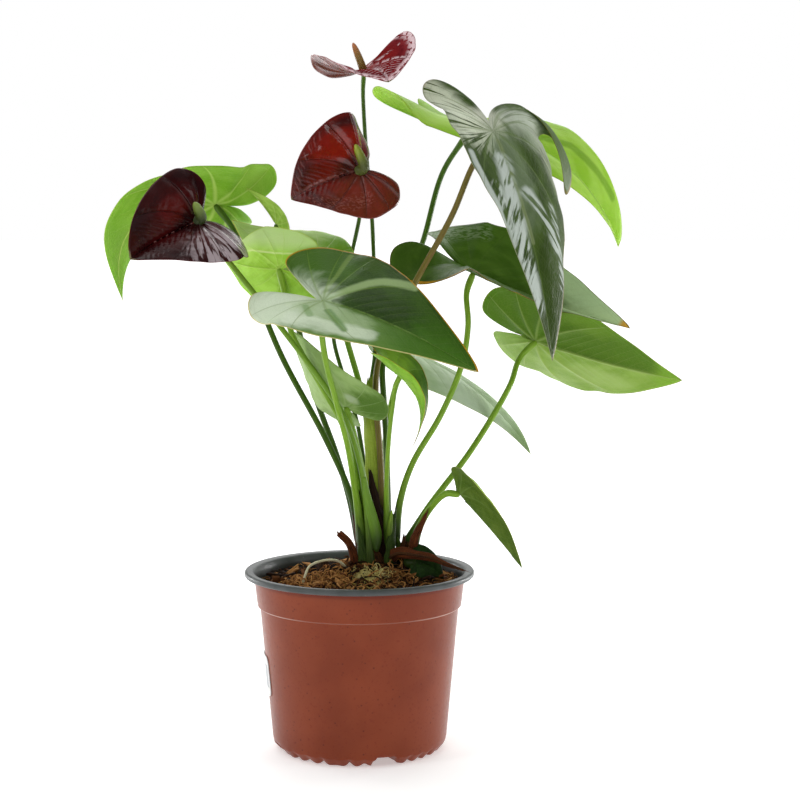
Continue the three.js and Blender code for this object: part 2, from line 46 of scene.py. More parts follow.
UP = np.array([0.0, 0.0, 1.0])
CIRCLE = 2 * math.pi
NEAR_CIRCLE = 6.28  # the turn that random swells and edges are drawn from

# ---------------------------------------------------------------- sizes, as in the part's source
POT = dict(rim=85, height=134, opening=78.3, lip=4.2, wall=1.5, neck=78.3, collar_foot=75.4, collar_at=107,
           body_top=73.5, body_foot=64.5, chamfer=6, foot=59)
CHANNEL = dict(count=4, width=17, height=7.6, start=14, turn=-71.5)
LABEL = dict(width=45, height=30, corner=5, middle=57, thick=0.35, gap=0.3)
SOIL = dict(edge=122, mound=13, spread=42, radius=74)
CROWN = np.array([11.0, 13.0])
SIDE_CROWN = np.array([35.0, 9.0])
BLADE = dict(heart=0.14, joint=0.05, thick=0.55)
STALK = dict(base=3.1, middle=2.15, neck=2.6, sides=18, steps=110, flare=1.15, foot_reach=26, neck_reach=7)
LOBE_OUTLINE = [(0, 0), (0, -0.5), (0.25, -1), (0.78, -0.72)]
SIDE_OUTLINE = [(1, 0.03), (0.9, 0.28), (0.58, 0.57), (0.23, 0.83), (0.06, 0.96), (0, 1)]

# Veins, in blade lengths from the stalk: the angles from the midrib at which the main ones leave the stalk,
# the degrees that they turn towards the tip in a blade's length, and where the side veins leave the midrib.
MAIN_VEINS = (45, 88, 122, 152)
VEIN_TURN = 30
SIDE_VEINS = dict(first=0.14, spacing=0.085, slope=1.25, curve=1.5)
# How a blade swells between its veins: millimetres that it rises, how far from a vein it is still drawn in,
# and the millimetres and reach of the ribs under its main veins.
SWELL = dict(height=0.9, main_reach=0.035, side_reach=0.018, side_share=0.35, rib=0.9, rib_reach=0.011)
# The pot's foot: how high its scallops are, how many it has, and how wide the ring is that they are cut in.
SCALLOP = dict(height=4.6, count=17, ring=5)
# The photograph's view: nearly level, from 1.6 m in front of the pot. Metres, millimetres of film and
# degrees.
CAMERA = dict(place=(0.030, -1.600, 0.426), film=36, lens=98.55, down=5.94)

# ---------------------------------------------------------------- the plant, as in the part's source
# finish: the upper and the lower face's material; ripple: millimetres that the edge waves; flare: how wide
# the stalk's foot is; slim: under 1 for a thinner stalk. Where a value is a pair, the left half comes
# first.
LEAVES = [
    dict(name="leaf_front", finish=("front_face", "under_green"), stalk_finish="stalk_light",
         hub=(-28, -80, 338), tip=(83, -132, 292), width=(97, 86), roll=49, arch=29, sweep=4, twist=4,
         fold=(1, 33), curl=(-10, -20), lobe=(0.33, 0.34), gap=(0.17, 0.08), full=(0.84, 0.89),
         lift=(13, 28), splay=(3, -7), lobe_twist=(13, 23),
         stalk=[(3, 3, 149), (-3, -11, 194), (-8, -30, 230), (-15, -47, 261), (-23, -66, 298),
                (-25, -76, 322)], flare=1.7, ripple=0.8),
    dict(name="leaf_tall", finish=("tall_face", "under_dark"), stalk_finish="stalk_olive",
         hub=(92, -50, 461), tip=(134, -114, 298), width=(138, 86), roll=32, arch=29, sweep=-12, twist=-15,
         fold=(-30, 40), curl=(-50, 10), lobe=(0.43, 0.26), gap=(0.18, 0.13), full=(0.98, 1.04),
         lift=(-60, 31), splay=(139, 2), lobe_twist=(-15, 44),
         stalk=[(18, 11, 148), (15, 4, 221), (12, 0, 267), (15, -10, 292), (40, -33, 346), (67, -43, 396),
                (81, -48, 430)], ripple=1.4),
    dict(name="leaf_right", finish=("right_face", "right_face"), stalk_finish="stalk_light",
         hub=(128, 62, 300), tip=(239, 13, 273), width=(108, 105), roll=-53, arch=-5, sweep=-2, twist=-16,
         fold=(6, -1), curl=(25, 2), lobe=(0.28, 0.3), gap=(0.08, 0.03), full=(0.94, 1.03), lift=(18, -17),
         splay=(-16, 12), lobe_twist=(-8, -1),
         stalk=[(33, 13, 148), (52, 14, 179), (83, 20, 220), (112, 36, 266), (121, 56, 286)], ripple=1.0),
    dict(name="leaf_dark_right", finish=("dark_right_face", "under_dark"), stalk_finish="stalk_light",
         hub=(78, 15, 355), tip=(198, -7, 312), width=(105, 104), roll=-4, arch=-6, sweep=-10, twist=12,
         fold=(44, 5), curl=(8, -4), lobe=(0.34, 0.45), gap=(0.08, 0.03), full=(0.87, 1.13), lift=(59, 29),
         splay=(18, -7), lobe_twist=(-42, 58),
         stalk=[(26, 14, 149), (30, 12, 183), (39, 9, 211), (60, 5, 248), (75, 5, 284), (80, 9, 314),
                (79, 13, 338)], ripple=1.6),
    dict(name="leaf_back_top", finish=("back_top_face", "back_top_face"), stalk_finish="stalk_green",
         hub=(72, 106, 456), tip=(201, 125, 367), width=(116, 137), roll=40, arch=70, sweep=12, twist=37,
         fold=(5, 63), curl=(-46, -65), lobe=(0.29, 0.39), gap=(0.07, 0.21), full=(0.71, 0.85),
         lift=(47, -3), splay=(28, 2), lobe_twist=(-9, -30),
         stalk=[(21, 21, 148), (20, 21, 218), (18, 22, 255), (17, 25, 285), (30, 60, 327), (48, 108, 373),
                (63, 120, 425)], ripple=1.2),
    dict(name="leaf_left", finish=("left_face", "under_bright"), stalk_finish="stalk_green",
         hub=(-99, 40, 401), tip=(-180, 57, 329), width=(84, 81), roll=-56, arch=83, sweep=18, twist=-30,
         fold=(-50, 52), curl=(-90, 55), lobe=(0.24, 0.34), gap=(0.05, 0.06), full=(1.19, 1.25),
         lift=(-28, 32), splay=(12, -26), lobe_twist=(-37, 34),
         stalk=[(1, 16, 146), (-7, 18, 186), (-25, 22, 227), (-60, 33, 292), (-84, 40, 353),
                (-94, 42, 382)], ripple=1.2),
    dict(name="leaf_pale_back", finish=("pale_back_face", "pale_back_face"), stalk_finish="stalk_light",
         hub=(-27, -4, 363), tip=(-93, 6, 391), width=62, roll=-44, arch=-6, sweep=-9, twist=-2,
         fold=(4, 4), curl=(-30, -26), lobe=0.33, gap=0.1, lift=-40,
         stalk=[(8, 17, 148), (7, 19, 196), (4, 17, 250), (-7, 9, 295), (-20, 1, 338)], ripple=0.6),
    dict(name="leaf_pale_under", finish=("under_bright", "pale_under_face"), stalk_finish="stalk_light",
         hub=(-54, -31, 357), tip=(-101, 12, 364), width=64, roll=79, arch=-8, sweep=3, twist=-1,
         fold=(3, 4), curl=(-16, -18), lobe=0.45, gap=0.16, lift=18,
         stalk=[(4, 10, 148), (-1, -2, 199), (-11, -18, 241), (-28, -32, 275), (-48, -34, 312),
                (-53, -33, 342)], ripple=0.6),
    dict(name="leaf_front_small", finish=("small_face", "under_bright"), stalk_finish="stalk_light",
         hub=(28, -45, 284), tip=(38, -41, 229), width=54, roll=29, arch=23, sweep=-3, twist=1,
         fold=(-6, -2), curl=(56, 60), lobe=0.45, gap=0.08, lift=0,
         stalk=[(21, 5, 149), (20, -8, 194), (22, -26, 236), (25, -38, 262), (27, -43, 275)], flare=1.6,
         slim=0.78, ripple=0.5),
    dict(name="leaf_low_left", finish=("low_left_face", "low_left_face"), stalk_finish="stalk_light",
         hub=(-7, -16, 254), tip=(-49, -12, 310), width=62, roll=-82, arch=24, sweep=-9, twist=-15,
         fold=(-62, 40), curl=(-2, 0), lobe=0.32, gap=0.09, full=0.65, lift=5,
         stalk=[(12, 4, 148), (6, -3, 187), (0, -9, 219), (-5, -13, 241)], flare=1.9, ripple=0.5),
    dict(name="leaf_pale_right", finish=("pale_right_face", "pale_right_face"), stalk_finish="stalk_light",
         hub=(36, 62, 290), tip=(128, 31, 215), width=76, roll=-6, arch=19, sweep=-10, twist=23,
         fold=(2, 6), curl=(-45, -58), lobe=0.23, gap=0.24, lift=2,
         stalk=[(17, 29, 131), (16, 37, 181), (19, 47, 226), (29, 58, 270)], ripple=0.6),
    dict(name="leaf_low_right", finish=("under_pale", "low_right_face"), stalk_finish="stalk_light",
         hub=(71, -20, 195), tip=(119, -26, 139), width=60, roll=-4, arch=2, sweep=6, twist=-1,
         fold=(50, 58), curl=(-50, -50), lobe=0.18, gap=0.2, lift=-5,
         stalk=[(39, 5, 146), (44, -2, 165), (53, -12, 182), (64, -19, 193)], ripple=0.4),
    dict(name="leaf_at_rim", finish=("shaded_rim_face", "shaded_rim_face"), stalk_finish="stalk_green", hub=(41, -9, 141),
         tip=(62, -10, 128), width=27, roll=62, arch=3, sweep=-5, twist=0, fold=(8, 8), curl=(-15, -15),
         lobe=0.12, gap=0.12, lift=0, stalk=[(34, 0, 142), (38, -6, 139)], ripple=0.3),
    dict(name="leaf_left_small", finish=("low_right_face", "under_pale"), stalk_finish="stalk_green",
         hub=(-61, 26, 386), tip=(-84, 33, 414), width=26, roll=40, arch=4, sweep=0, twist=0, fold=(30, 30),
         curl=(-10, -10), lobe=0.3, gap=0.14, lift=0,
         stalk=[(0, 23, 147), (-7, 29, 178), (-18, 34, 215), (-34, 36, 260), (-49, 34, 324),
                (-58, 28, 370)], ripple=0.2),
]

BLOOMS = [
    dict(name="top", finish=("spathe_top", "spathe_back"), stalk_finish="stalk_green",
         spadix_tip=(-4, 0, 519), spadix_radius=3, slim=0.7, spadix_finish="spadix_olive", hub=(2, 0, 498),
         tip=(22, -70, 488), width=(88, 87), roll=20, arch=4, sweep=-10, twist=1, fold=(7, 10),
         curl=(28, 53), lobe=(0.27, 0.21), gap=(0.08, 0.1), full=(0.79, 0.84), lift=(-60, -33),
         splay=(-9, 29), lobe_twist=(0, -4),
         stalk=[(14, 22, 148), (14, 26, 190), (12, 28, 220), (8, 29, 265), (11, 28, 290), (11, 26, 340),
                (9, 25, 395), (5, 22, 442), (3, 8, 484)], ripple=0.8),
    dict(name="middle", finish=("spathe_middle", "spathe_back"), stalk_finish="stalk_green",
         spadix_tip=(-2, -20, 446), spadix_radius=4, slim=0.7, spadix_finish="spadix_green",
         hub=(4, -10, 428), tip=(-46, -59, 407), width=(74, 86), roll=-68, arch=-13, sweep=6, twist=9,
         fold=(6, 7), curl=(-4, 16), lobe=(0.31, 0.2), gap=(0.12, 0.17), full=(0.93, 0.88), lift=(-16, -97),
         splay=(20, 14), lobe_twist=(-4, 29),
         stalk=[(7, 27, 148), (4, 28, 198), (-2, 28, 239), (-12, 29, 273), (-20, 29, 310), (-5, 18, 369),
                (2, 2, 406)], ripple=0.8),
    dict(name="left", finish=("spathe_left", "spathe_back"), stalk_finish="stalk_front",
         spadix_tip=(-114, -60, 405), spadix_radius=4.3, slim=0.9, spadix_finish="spadix_dark",
         hub=(-111, -45, 392), tip=(-154, -104, 367), width=(95, 81), roll=-57, arch=-5, sweep=5, twist=-2,
         fold=(39, 31), curl=(-25, -28), lobe=(0.27, 0.16), gap=(0.19, 0.2), full=(0.73, 0.51),
         lift=(14, 71), splay=(29, 41), lobe_twist=(-30, 6),
         stalk=[(9, -4, 131), (4, -10, 193), (0, -17, 217), (-9, -31, 248), (-26, -42, 277),
                (-54, -45, 315), (-91, -43, 362)], ripple=0.6,
         sheath=[(13, -8, 148), (11, -9.5, 162), (6, -13, 186), (3.5, -15, 204)]),
]


# ---------------------------------------------------------------- mesh helpers
def unit(v):
    """Vectors of length 1."""
    return v / np.linalg.norm(v, axis=-1, keepdims=True)


class Piece:
    """A mesh gathered from patches in millimetres. place holds three numbers a point for its material."""

    def __init__(self):
        self.points = []
        self.faces = []
        self.finishes = []
        self.slots = []
        self.places = []
        self.count = 0

    def add(self, points, faces, finish, place):
        if finish not in self.finishes:
            self.finishes.append(finish)
        self.slots += [self.finishes.index(finish)] * len(faces)
        self.faces += [tuple(int(i) + self.count for i in face) for face in faces]
        self.points.append(points)
        self.places.append(place)
        self.count += len(points)

    def make(self, name, slot, *nodes):
        """The finished object, which rides on the root and stands for the nodes."""
        mesh = bpy.data.meshes.new(name)
        mesh.from_pydata((np.vstack(self.points) * MM).tolist(), [], self.faces)
        for finish in self.finishes:
            mesh.materials.append(FINISHES[finish])
        mesh.polygons.foreach_set("material_index", self.slots)
        mesh.polygons.foreach_set("use_smooth", [True] * len(self.faces))
        place = mesh.attributes.new("place", "FLOAT_VECTOR", "POINT")
        place.data.foreach_set("vector", np.vstack(self.places).astype(np.float32).ravel())
        mesh.update()
        made = bpy.data.objects.new(name, mesh)
        bpy.context.scene.collection.objects.link(made)
        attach(made, "root")
        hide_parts(*nodes)
        return made


def vertex_normals(points, faces):
    """Normals of a mesh of triangles, weighted by their area."""
    a, b, c = (points[faces[:, i]] for i in range(3))
    cross = np.cross(b - a, c - a)
    normals = np.zeros_like(points)
    for i in range(3):
        np.add.at(normals, faces[:, i], cross)
    return unit(normals)


def cubic(start, end, leaving, arriving, share):
    """Points on the cubic curve from start to end that has these slopes at its ends."""
    cube = 2 * start - 2 * end + leaving + arriving
    square = -3 * start + 3 * end - 2 * leaving - arriving
    return start + leaving * share + square * share**2 + cube * share**3


def smooth_route(route, steps):
    """Evenly spaced points along a centripetal Catmull-Rom curve through the route."""
    p = np.array(route, float)
    p = np.vstack([2 * p[0] - p[1], p, 2 * p[-1] - p[-2]])
    share = np.linspace(0, 1, 24, endpoint=False)[:, None]
    dense = []
    for a, b, c, d in zip(p, p[1:], p[2:], p[3:]):
        before, span, after = (np.linalg.norm(v) ** 0.5 for v in (b - a, c - b, d - c))
        leaving = ((b - a) / before - (c - a) / (before + span) + (c - b) / span) * span
        arriving = ((c - b) / span - (d - b) / (span + after) + (d - c) / after) * span
        dense.append(cubic(b, c, leaving, arriving, share))
    dense = np.vstack(dense + [p[-2:-1]])
    length = np.concatenate([[0], np.cumsum(np.linalg.norm(np.diff(dense, axis=0), axis=1))])
    wanted = np.linspace(0, length[-1], steps + 1)
    return np.stack([np.interp(wanted, length, dense[:, i]) for i in range(3)], axis=1)


def carried_frames(points):
    """Tangents and two directions across them that turn as little as they can along the points."""
    tangents = unit(np.gradient(points, axis=0))
    across = np.cross(tangents[0], [0.0, -1.0, 0.1])
    firsts = []
    for tangent in tangents:
        across = unit(across - tangent * (across @ tangent))
        firsts.append(across)
    firsts = np.array(firsts)
    return tangents, firsts, np.cross(tangents, firsts)


def band_faces(rows, sides):
    """The faces between rows of points, each row a closed ring."""
    i, j = np.meshgrid(np.arange(rows - 1), np.arange(sides), indexing="ij")
    a, b = (i * sides + j).ravel(), (i * sides + (j + 1) % sides).ravel()
    return np.stack([a, b, b + sides, a + sides], axis=1).tolist()


def slab_faces(long, wide, first_outward):
    """The faces of a thin slab: two sheets of (long + 1) by (wide + 1) points that are closed at their
    edge."""
    i, j = np.meshgrid(np.arange(long), np.arange(wide), indexing="ij")
    row, total = wide + 1, (long + 1) * (wide + 1)
    a = (i * row + j).ravel()
    out = np.stack([a, a + 1, a + row + 1, a + row], axis=1)
    first, second = (out, out[:, ::-1]) if first_outward else (out[:, ::-1], out)
    ring = list(range(row)) + [k * row + wide for k in range(1, long + 1)]
    ring += [long * row + k for k in range(wide - 1, -1, -1)] + [k * row for k in range(long - 1, 0, -1)]
    edge = [(p, p + total, q + total, q) for p, q in zip(ring, ring[1:] + ring[:1])]
    return first.tolist() + (second + total).tolist() + edge


def tube(points, radius, sides=STALK["sides"]):
    """Points, faces and place of a closed tube; radius is (steps + 1,) or (steps + 1, sides)."""
    count = len(points)
    _, first, second = carried_frames(points)
    angle = CIRCLE * np.arange(sides) / sides
    radius = np.broadcast_to(np.asarray(radius, float).reshape(count, -1), (count, sides))
    ring = (first[:, None] * np.cos(angle)[None, :, None] + second[:, None] * np.sin(angle)[None, :, None])
    wall = points[:, None] + ring * radius[:, :, None]
    faces = band_faces(count, sides)
    faces += [range(sides - 1, -1, -1), (count - 1) * sides + np.arange(sides)]
    share = np.linspace(0, 1, count)
    length = np.linalg.norm(np.diff(points, axis=0), axis=1).sum()
    place = np.stack([np.tile(np.arange(sides) / sides, count), np.repeat(share, sides),
                      np.repeat(share * length, sides)], axis=1)
    return wall.reshape(-1, 3), faces, place


def add_tube(piece, route, steps, radius, finish, sides):
    """Adds a closed tube along a smooth route. radius: one for each point, or a pair that it tapers
    between."""
    if isinstance(radius, tuple):
        radius = np.linspace(*radius, steps + 1)
    wall, faces, place = tube(smooth_route(route, steps), radius, sides)
    piece.add(wall, faces, finish, place)


def waves(x, y, seed):
    """Gentle random swells from -1 to 1 over the plane of x and y, with periods from about 0.15 to 1."""
    rng = np.random.default_rng(seed)
    total = np.zeros_like(x)
    for _ in range(9):
        heading, period, shift = rng.uniform(0, NEAR_CIRCLE), rng.uniform(0.15, 1.0), rng.uniform(0,
                                                                                                  NEAR_CIRCLE)
        along = x * math.cos(heading) + y * math.sin(heading)
        total += np.sin(along * NEAR_CIRCLE / period + shift) * period**0.5
    return total / 5


# ---------------------------------------------------------------- blades
def both(value):
    """The values of the left and the right half, which are alike where a single number is given."""
    return np.array(value if isinstance(value, tuple) else (value, value), float)


def half_outline(spec, which, per_span):
    """Half of the outline of a blade, from the notch round its side to the tip."""
    lobe, gap, full = (both(value)[which] for value in (spec["lobe"], spec["gap"], spec.get("full", 1)))
    half = [(x + gap if i in (1, 2) else x, y * lobe) for i, (x, y) in enumerate(LOBE_OUTLINE)]
    half += [(x**full, y) for x, y in SIDE_OUTLINE]
    p = np.array(half, float)
    p = np.vstack([p[:1], p, p[-1:]])
    share = np.linspace(0, 1, per_span, endpoint=False)[:, None]
    spans = [cubic(b, c, (c - a) / 2, (d - b) / 2, share) for a, b, c, d in zip(p, p[1:], p[2:], p[3:])]
    return np.vstack(spans + [p[-1:]])


def outline(spec, per_span):
    """The closed outline of a blade, from the notch round the right half to the tip and back."""
    left = half_outline(spec, 0, per_span)[1:-1][::-1] * [-1, 1]
    return np.vstack([half_outline(spec, 1, per_span), left])


def half_width(spec, x):
    """Half the blade's width in millimetres, on the side that each x lies on."""
    return both(spec["width"])[(x > 0).astype(int)] / 2


def lengths_across(spec, flat):
    """How far points of the flat outline lie from the midrib, in blade lengths."""
    hub, tip, _, _ = blade_frame(spec)
    return flat[:, 0] * half_width(spec, flat[:, 0]) / np.linalg.norm(tip - hub)


def blade_frame(spec):
    """The stalk's end, the tip, the bow of the midrib between them and the blade's up."""
    hub, tip = np.array(spec["hub"], float), np.array(spec["tip"], float)
    along = unit(tip - hub)
    level = unit(UP - along * along[2])
    side = np.cross(along, level)
    roll = math.radians(spec["roll"])
    up = level * math.cos(roll) + side * math.sin(roll)
    bow = (hub + tip) / 2 + up * spec["arch"] + np.cross(along, up) * spec["sweep"]
    return hub, tip, bow, up


def on_blade(spec, flat):
    """The places on a blade of points of its flat outline: x in half widths, y in lengths."""
    x, y = flat[:, 0], flat[:, 1]
    hub, tip, bow, up = blade_frame(spec)
    length = np.linalg.norm(tip - hub)
    t = np.clip(y, 0, 1)[:, None]
    place = (1 - t) ** 2 * hub + 2 * t * (1 - t) * bow + t * t * tip
    along = unit((bow - hub) * (1 - t) + (tip - bow) * t)
    level = unit(up - along * (along @ up)[:, None])
    side = np.cross(along, level)
    which = (x > 0).astype(int)
    behind = np.clip(-y, 0, None)[:, None]
    lobe = behind / 0.3
    lobe_twist = both(spec.get("lobe_twist", 0))[which][:, None]
    turn = np.radians(spec["twist"] * t + lobe_twist * lobe)
    normal = level * np.cos(turn) + side * np.sin(turn)
    right = side * np.cos(turn) - level * np.sin(turn)
    rise = np.radians(both(spec["lift"]))[which][:, None] * lobe * 0.5
    spread = np.radians(both(spec.get("splay", 0)))[which][:, None] * lobe * 0.5 * np.sign(x)[:, None]
    back = right * np.sin(spread) - along * np.cos(spread)
    place += (normal * np.sin(rise) + back * np.cos(rise)) * behind * length
    half = half_width(spec, x)
    fold = np.radians(both(spec["fold"]))[which]
    bend = (np.radians(both(spec["curl"])) + 1e-6)[which] / half
    reach = np.abs(x) * half
    out = (np.sin(fold + bend * reach) - np.sin(fold)) / bend
    high = (np.cos(fold) - np.cos(fold + bend * reach)) / bend
    return place + right * (np.sign(x) * out)[:, None] + normal * high[:, None]


def vein_distances(across, along):
    """Distances, in blade lengths, to the nearest main vein and to the nearest side vein."""
    across = np.abs(across)
    ahead = along - BLADE["joint"]
    radius = np.hypot(across, ahead)
    angle = np.degrees(np.arctan2(across, ahead)) + VEIN_TURN * radius
    main = np.where(ahead > 0, across, radius)
    for vein in MAIN_VEINS:
        main = np.minimum(main, radius * np.radians(np.abs(angle - vein)))
    start = along - SIDE_VEINS["slope"] * across - SIDE_VEINS["curve"] * across**2 - SIDE_VEINS["first"]
    phase = start / SIDE_VEINS["spacing"]
    side = np.abs(phase - np.round(phase)) * SIDE_VEINS["spacing"]
    return main, np.where(start > -0.5 * SIDE_VEINS["spacing"], side, 1.0)


def relief(spec, flat, rim, scale):
    """Millimetres that the blade rises between its veins and at its wavy edge."""
    across, along = lengths_across(spec, flat), flat[:, 1]
    main, side = vein_distances(across, along)
    swell = 1 - np.exp(-(main / SWELL["main_reach"]) ** 2)
    swell = swell + SWELL["side_share"] * (1 - np.exp(-(side / SWELL["side_reach"]) ** 2))
    calm = 1 - rim**6
    seed = sum(map(ord, spec["name"]))
    high = SWELL["height"] * scale * (swell + 0.5 * waves(across, along, seed)) * calm
    turn = np.arctan2(across, along - BLADE["heart"])
    rng = np.random.default_rng(seed)
    edge = sum(np.sin(turn * n + rng.uniform(0, NEAR_CIRCLE)) / (1 + n / 9) for n in (5, 8, 11, 17))
    return high + spec["ripple"] * rim**4 * edge * 0.6


def add_blade(piece, spec, rings, per_span, scale):
    """Adds a blade's two faces and its edge. The place of a point is its flat place and its share to the
    edge."""
    edge = outline(spec, per_span)
    count = len(edge)
    heart = np.array([[0, BLADE["heart"]]])
    share = (np.arange(1, rings + 1) / rings) ** 0.9
    flat = np.vstack([heart, (heart + (edge - heart) * share[:, None, None]).reshape(-1, 2)])
    rim = np.concatenate([[0], np.repeat(share, count)])
    i, j = np.arange(count), (np.arange(count) + 1) % count
    fan = np.stack([0 * i, 1 + i, 1 + j], axis=1)
    inner = [1 + ring * count for ring in range(rings - 1)]
    quads = np.vstack([np.stack([a + i, a + i + count, a + j + count, a + j], axis=1) for a in inner])
    triangles = np.vstack([fan, quads[:, [0, 1, 2]], quads[:, [0, 2, 3]]])
    middle = on_blade(spec, flat)
    normal = vertex_normals(middle, triangles)
    middle = middle + normal * relief(spec, flat, rim, scale)[:, None]
    normal = vertex_normals(middle, triangles)
    across = lengths_across(spec, flat)
    main, _ = vein_distances(across, flat[:, 1])
    half = BLADE["thick"] / 2 * (1 - 0.6 * rim**8)
    rib = SWELL["rib"] * scale * np.exp(-(main / SWELL["rib_reach"]) ** 2) * (1 - rim**3)
    place = np.stack([across, flat[:, 1], rim], axis=1)
    total = len(middle)
    faces = [tuple(f) for f in fan] + [tuple(f) for f in quads]
    upper = middle + normal * half[:, None]
    under = middle - normal * (half + rib)[:, None]
    start = piece.count
    piece.add(upper, faces, spec["finish"][0], place)
    piece.add(under, [face[::-1] for face in faces], spec["finish"][1], place)
    last = 1 + (rings - 1) * count
    strip = [(last + a, total + last + a, total + last + b, last + b) for a, b in zip(i, j)]
    back_to = start - piece.count
    piece.add(np.zeros((0, 3)), [tuple(v + back_to for v in face) for face in strip], spec["finish"][0],
              np.zeros((0, 3)))


# ---------------------------------------------------------------- stalks
def joint(spec, height=0.0):
    """The place where the stalk meets the blade, just in front of the notch."""
    up = blade_frame(spec)[3]
    return on_blade(spec, np.array([[0, BLADE["joint"]]]))[0] + up * height


def add_stalk(piece, spec, height=0.0):
    """Adds the stalk: a sheathing base, a slim middle with faint ribs and a thicker joint under the blade."""
    points = smooth_route(spec["stalk"] + [joint(spec, height)], STALK["steps"])
    t = np.linspace(0, 1, len(points))
    long = np.linalg.norm(np.diff(points, axis=0), axis=1).sum()
    from_foot, from_top = t * long, (1 - t) * long
    flare = STALK["base"] * spec.get("flare", STALK["flare"]) - STALK["middle"]
    foot = flare * np.exp(-((from_foot / STALK["foot_reach"]) ** 1.6))
    neck_reach = STALK["neck_reach"]
    neck = (STALK["neck"] - STALK["middle"]) * np.exp(-(((from_top - neck_reach) / neck_reach) ** 2))
    radius = STALK["middle"] * (1 + 0.12 * (1 - t)) + foot + neck
    radius *= np.sqrt(np.clip(from_foot / 5, 0.15, 1)) * np.sqrt(np.clip((from_top + 1.2) / 3, 0.3, 1))
    angle = CIRCLE * np.arange(STALK["sides"]) / STALK["sides"]
    ribs = 1 + 0.02 * np.cos(6 * angle) - 0.1 * np.exp(-((angle - math.pi) / 0.5) ** 2)
    wall, faces, place = tube(points, radius[:, None] * ribs * spec.get("slim", 1))
    piece.add(wall, faces, spec["stalk_finish"], place)


def make_leaves():
    for spec in LEAVES:
        small = both(spec["width"]).mean() < 70
        piece = Piece()
        add_blade(piece, spec, rings=20 if small else 30, per_span=9 if small else 13,
                  scale=0.5 if small else 1)
        add_stalk(piece, spec)
        piece.make(spec["name"] + "_grown", SLOTS[spec["name"]], spec["name"])


# ---------------------------------------------------------------- blooms
def add_spadix(piece, spec):
    """Adds a blunt spike set with florets in crossing spirals."""
    around, rows, sides, steps = 13, 26, 104, 150
    points = smooth_route([joint(spec, -0.5), joint(spec, 6), spec["spadix_tip"]], steps)
    t = np.linspace(0, 1, steps + 1)[:, None]
    u = np.arange(sides)[None] / sides
    body = spec["spadix_radius"] * np.sqrt(np.clip(1 - t**5, 0.002, 1)) * (1 - 0.22 * t)
    row, column = t * rows, u * around
    lift = np.zeros((steps + 1, sides))
    for shift in (0, 0.5):
        down = (row + shift) - np.round(row + shift)
        over = (column + shift) - np.round(column + shift)
        lift = np.maximum(lift, 1 - (np.abs(down) * 2) ** 2 - (np.abs(over) * 2) ** 2)
    lift = np.clip(lift, 0, 1) ** 0.6
    wall, faces, place = tube(points, body * (0.86 + 0.16 * lift), sides)
    place[:, 0] = lift.ravel()
    piece.add(wall, faces, spec["spadix_finish"], place)


def make_blooms():
    for spec in BLOOMS:
        node = "bloom_" + spec["name"]
        spathe = Piece()
        add_blade(spathe, spec, rings=34, per_span=14, scale=1.3)
        spathe.make(node + "_spathe_grown", SLOTS[node + "_spathe"], node + "_spathe")
        stalk = Piece()
        add_stalk(stalk, spec, -0.6)
        if "sheath" in spec:
            add_bract(stalk, spec["sheath"], 12.0, "stalk_sheath", cup=0.85, tip=0.2, torn=0, foot=0.2)
        stalk.make(node + "_stalk_grown", SLOTS[node + "_stalk"], node + "_stalk")
        spadix = Piece()
        add_spadix(spadix, spec)
        spadix.make(node + "_spadix_grown", SLOTS[node + "_spadix"], node + "_spadix")


# ---------------------------------------------------------------- pot and label
def rounded(profile, radius=0.6, cuts=4):
    """A profile with its corners rounded off."""
    points = np.array(profile, float)
    out = [points[0]]
    for before, corner, after in zip(points, points[1:], points[2:]):
        to_before, to_after = before - corner, after - corner
        reach = min(radius, 0.45 * np.linalg.norm(to_before), 0.45 * np.linalg.norm(to_after))
        start, end = corner + unit(to_before) * reach, corner + unit(to_after) * reach
        for share in np.linspace(0, 1, cuts):
            out.append((1 - share) ** 2 * start + 2 * share * (1 - share) * corner + share**2 * end)
    return np.array(out + [points[-1]])


def in_channel(angle):
    """From 0 to 1, how far each angle round the foot lies inside a drain channel's mouth."""
    pitch = CIRCLE / CHANNEL["count"]
    off = (angle - math.radians(CHANNEL["turn"]) + pitch / 2) % pitch - pitch / 2
    side = np.abs(off) * POT["foot"]
    return np.clip((CHANNEL["width"] / 2 + 2 - side) / 4, 0, 1)


def make_pot():
    """The pot as a turned shell: terracotta outside, charcoal on the lip and inside, with a notched foot."""
    p = POT
    outside = rounded([
        (0, 1.5), (20, 1.5), (p["foot"] - 4, 1.5), (p["foot"] - 2.5, 0), (p["foot"], 0.3),
        (p["body_foot"] - 0.6, p["chamfer"]), (p["body_foot"] + 0.2, p["chamfer"] + 4),
        (p["body_top"], p["collar_at"]),
        (p["collar_foot"], p["collar_at"] + 0.7), (p["neck"] - 0.6, p["height"] - p["lip"] - 2.6),
        (p["neck"] + 0.1, p["height"] - p["lip"] - 1.2), (p["neck"] + 0.1, p["height"] - p["lip"]),
    ])
    top = p["height"]
    lip = rounded([
        (p["neck"] + 0.1, top - p["lip"]), (p["rim"] - 1.2, top - p["lip"] - 0.5),
        (p["rim"], top - p["lip"] + 0.7),
        (p["rim"] - 0.2, top - 1.2), (p["rim"] - 1.6, top), (p["opening"] + 1.2, top - 0.4),
        (p["opening"] - 0.5, top - 1.6), (p["opening"] - 1.8, top - 5),
        (p["collar_foot"] - 1.5, p["collar_at"] + 1),
        (p["body_top"] - 1.5, p["collar_at"]), (p["body_foot"] - 1.5, 8), (0, 8),
    ], radius=1.2, cuts=6)
    piece = Piece()
    for profile, finish in ((outside, "pot_terracotta"), (lip, "pot_charcoal")):
        add_turned(piece, profile, finish)
    piece.make("pot_shell", "pot_plastic", "pot")


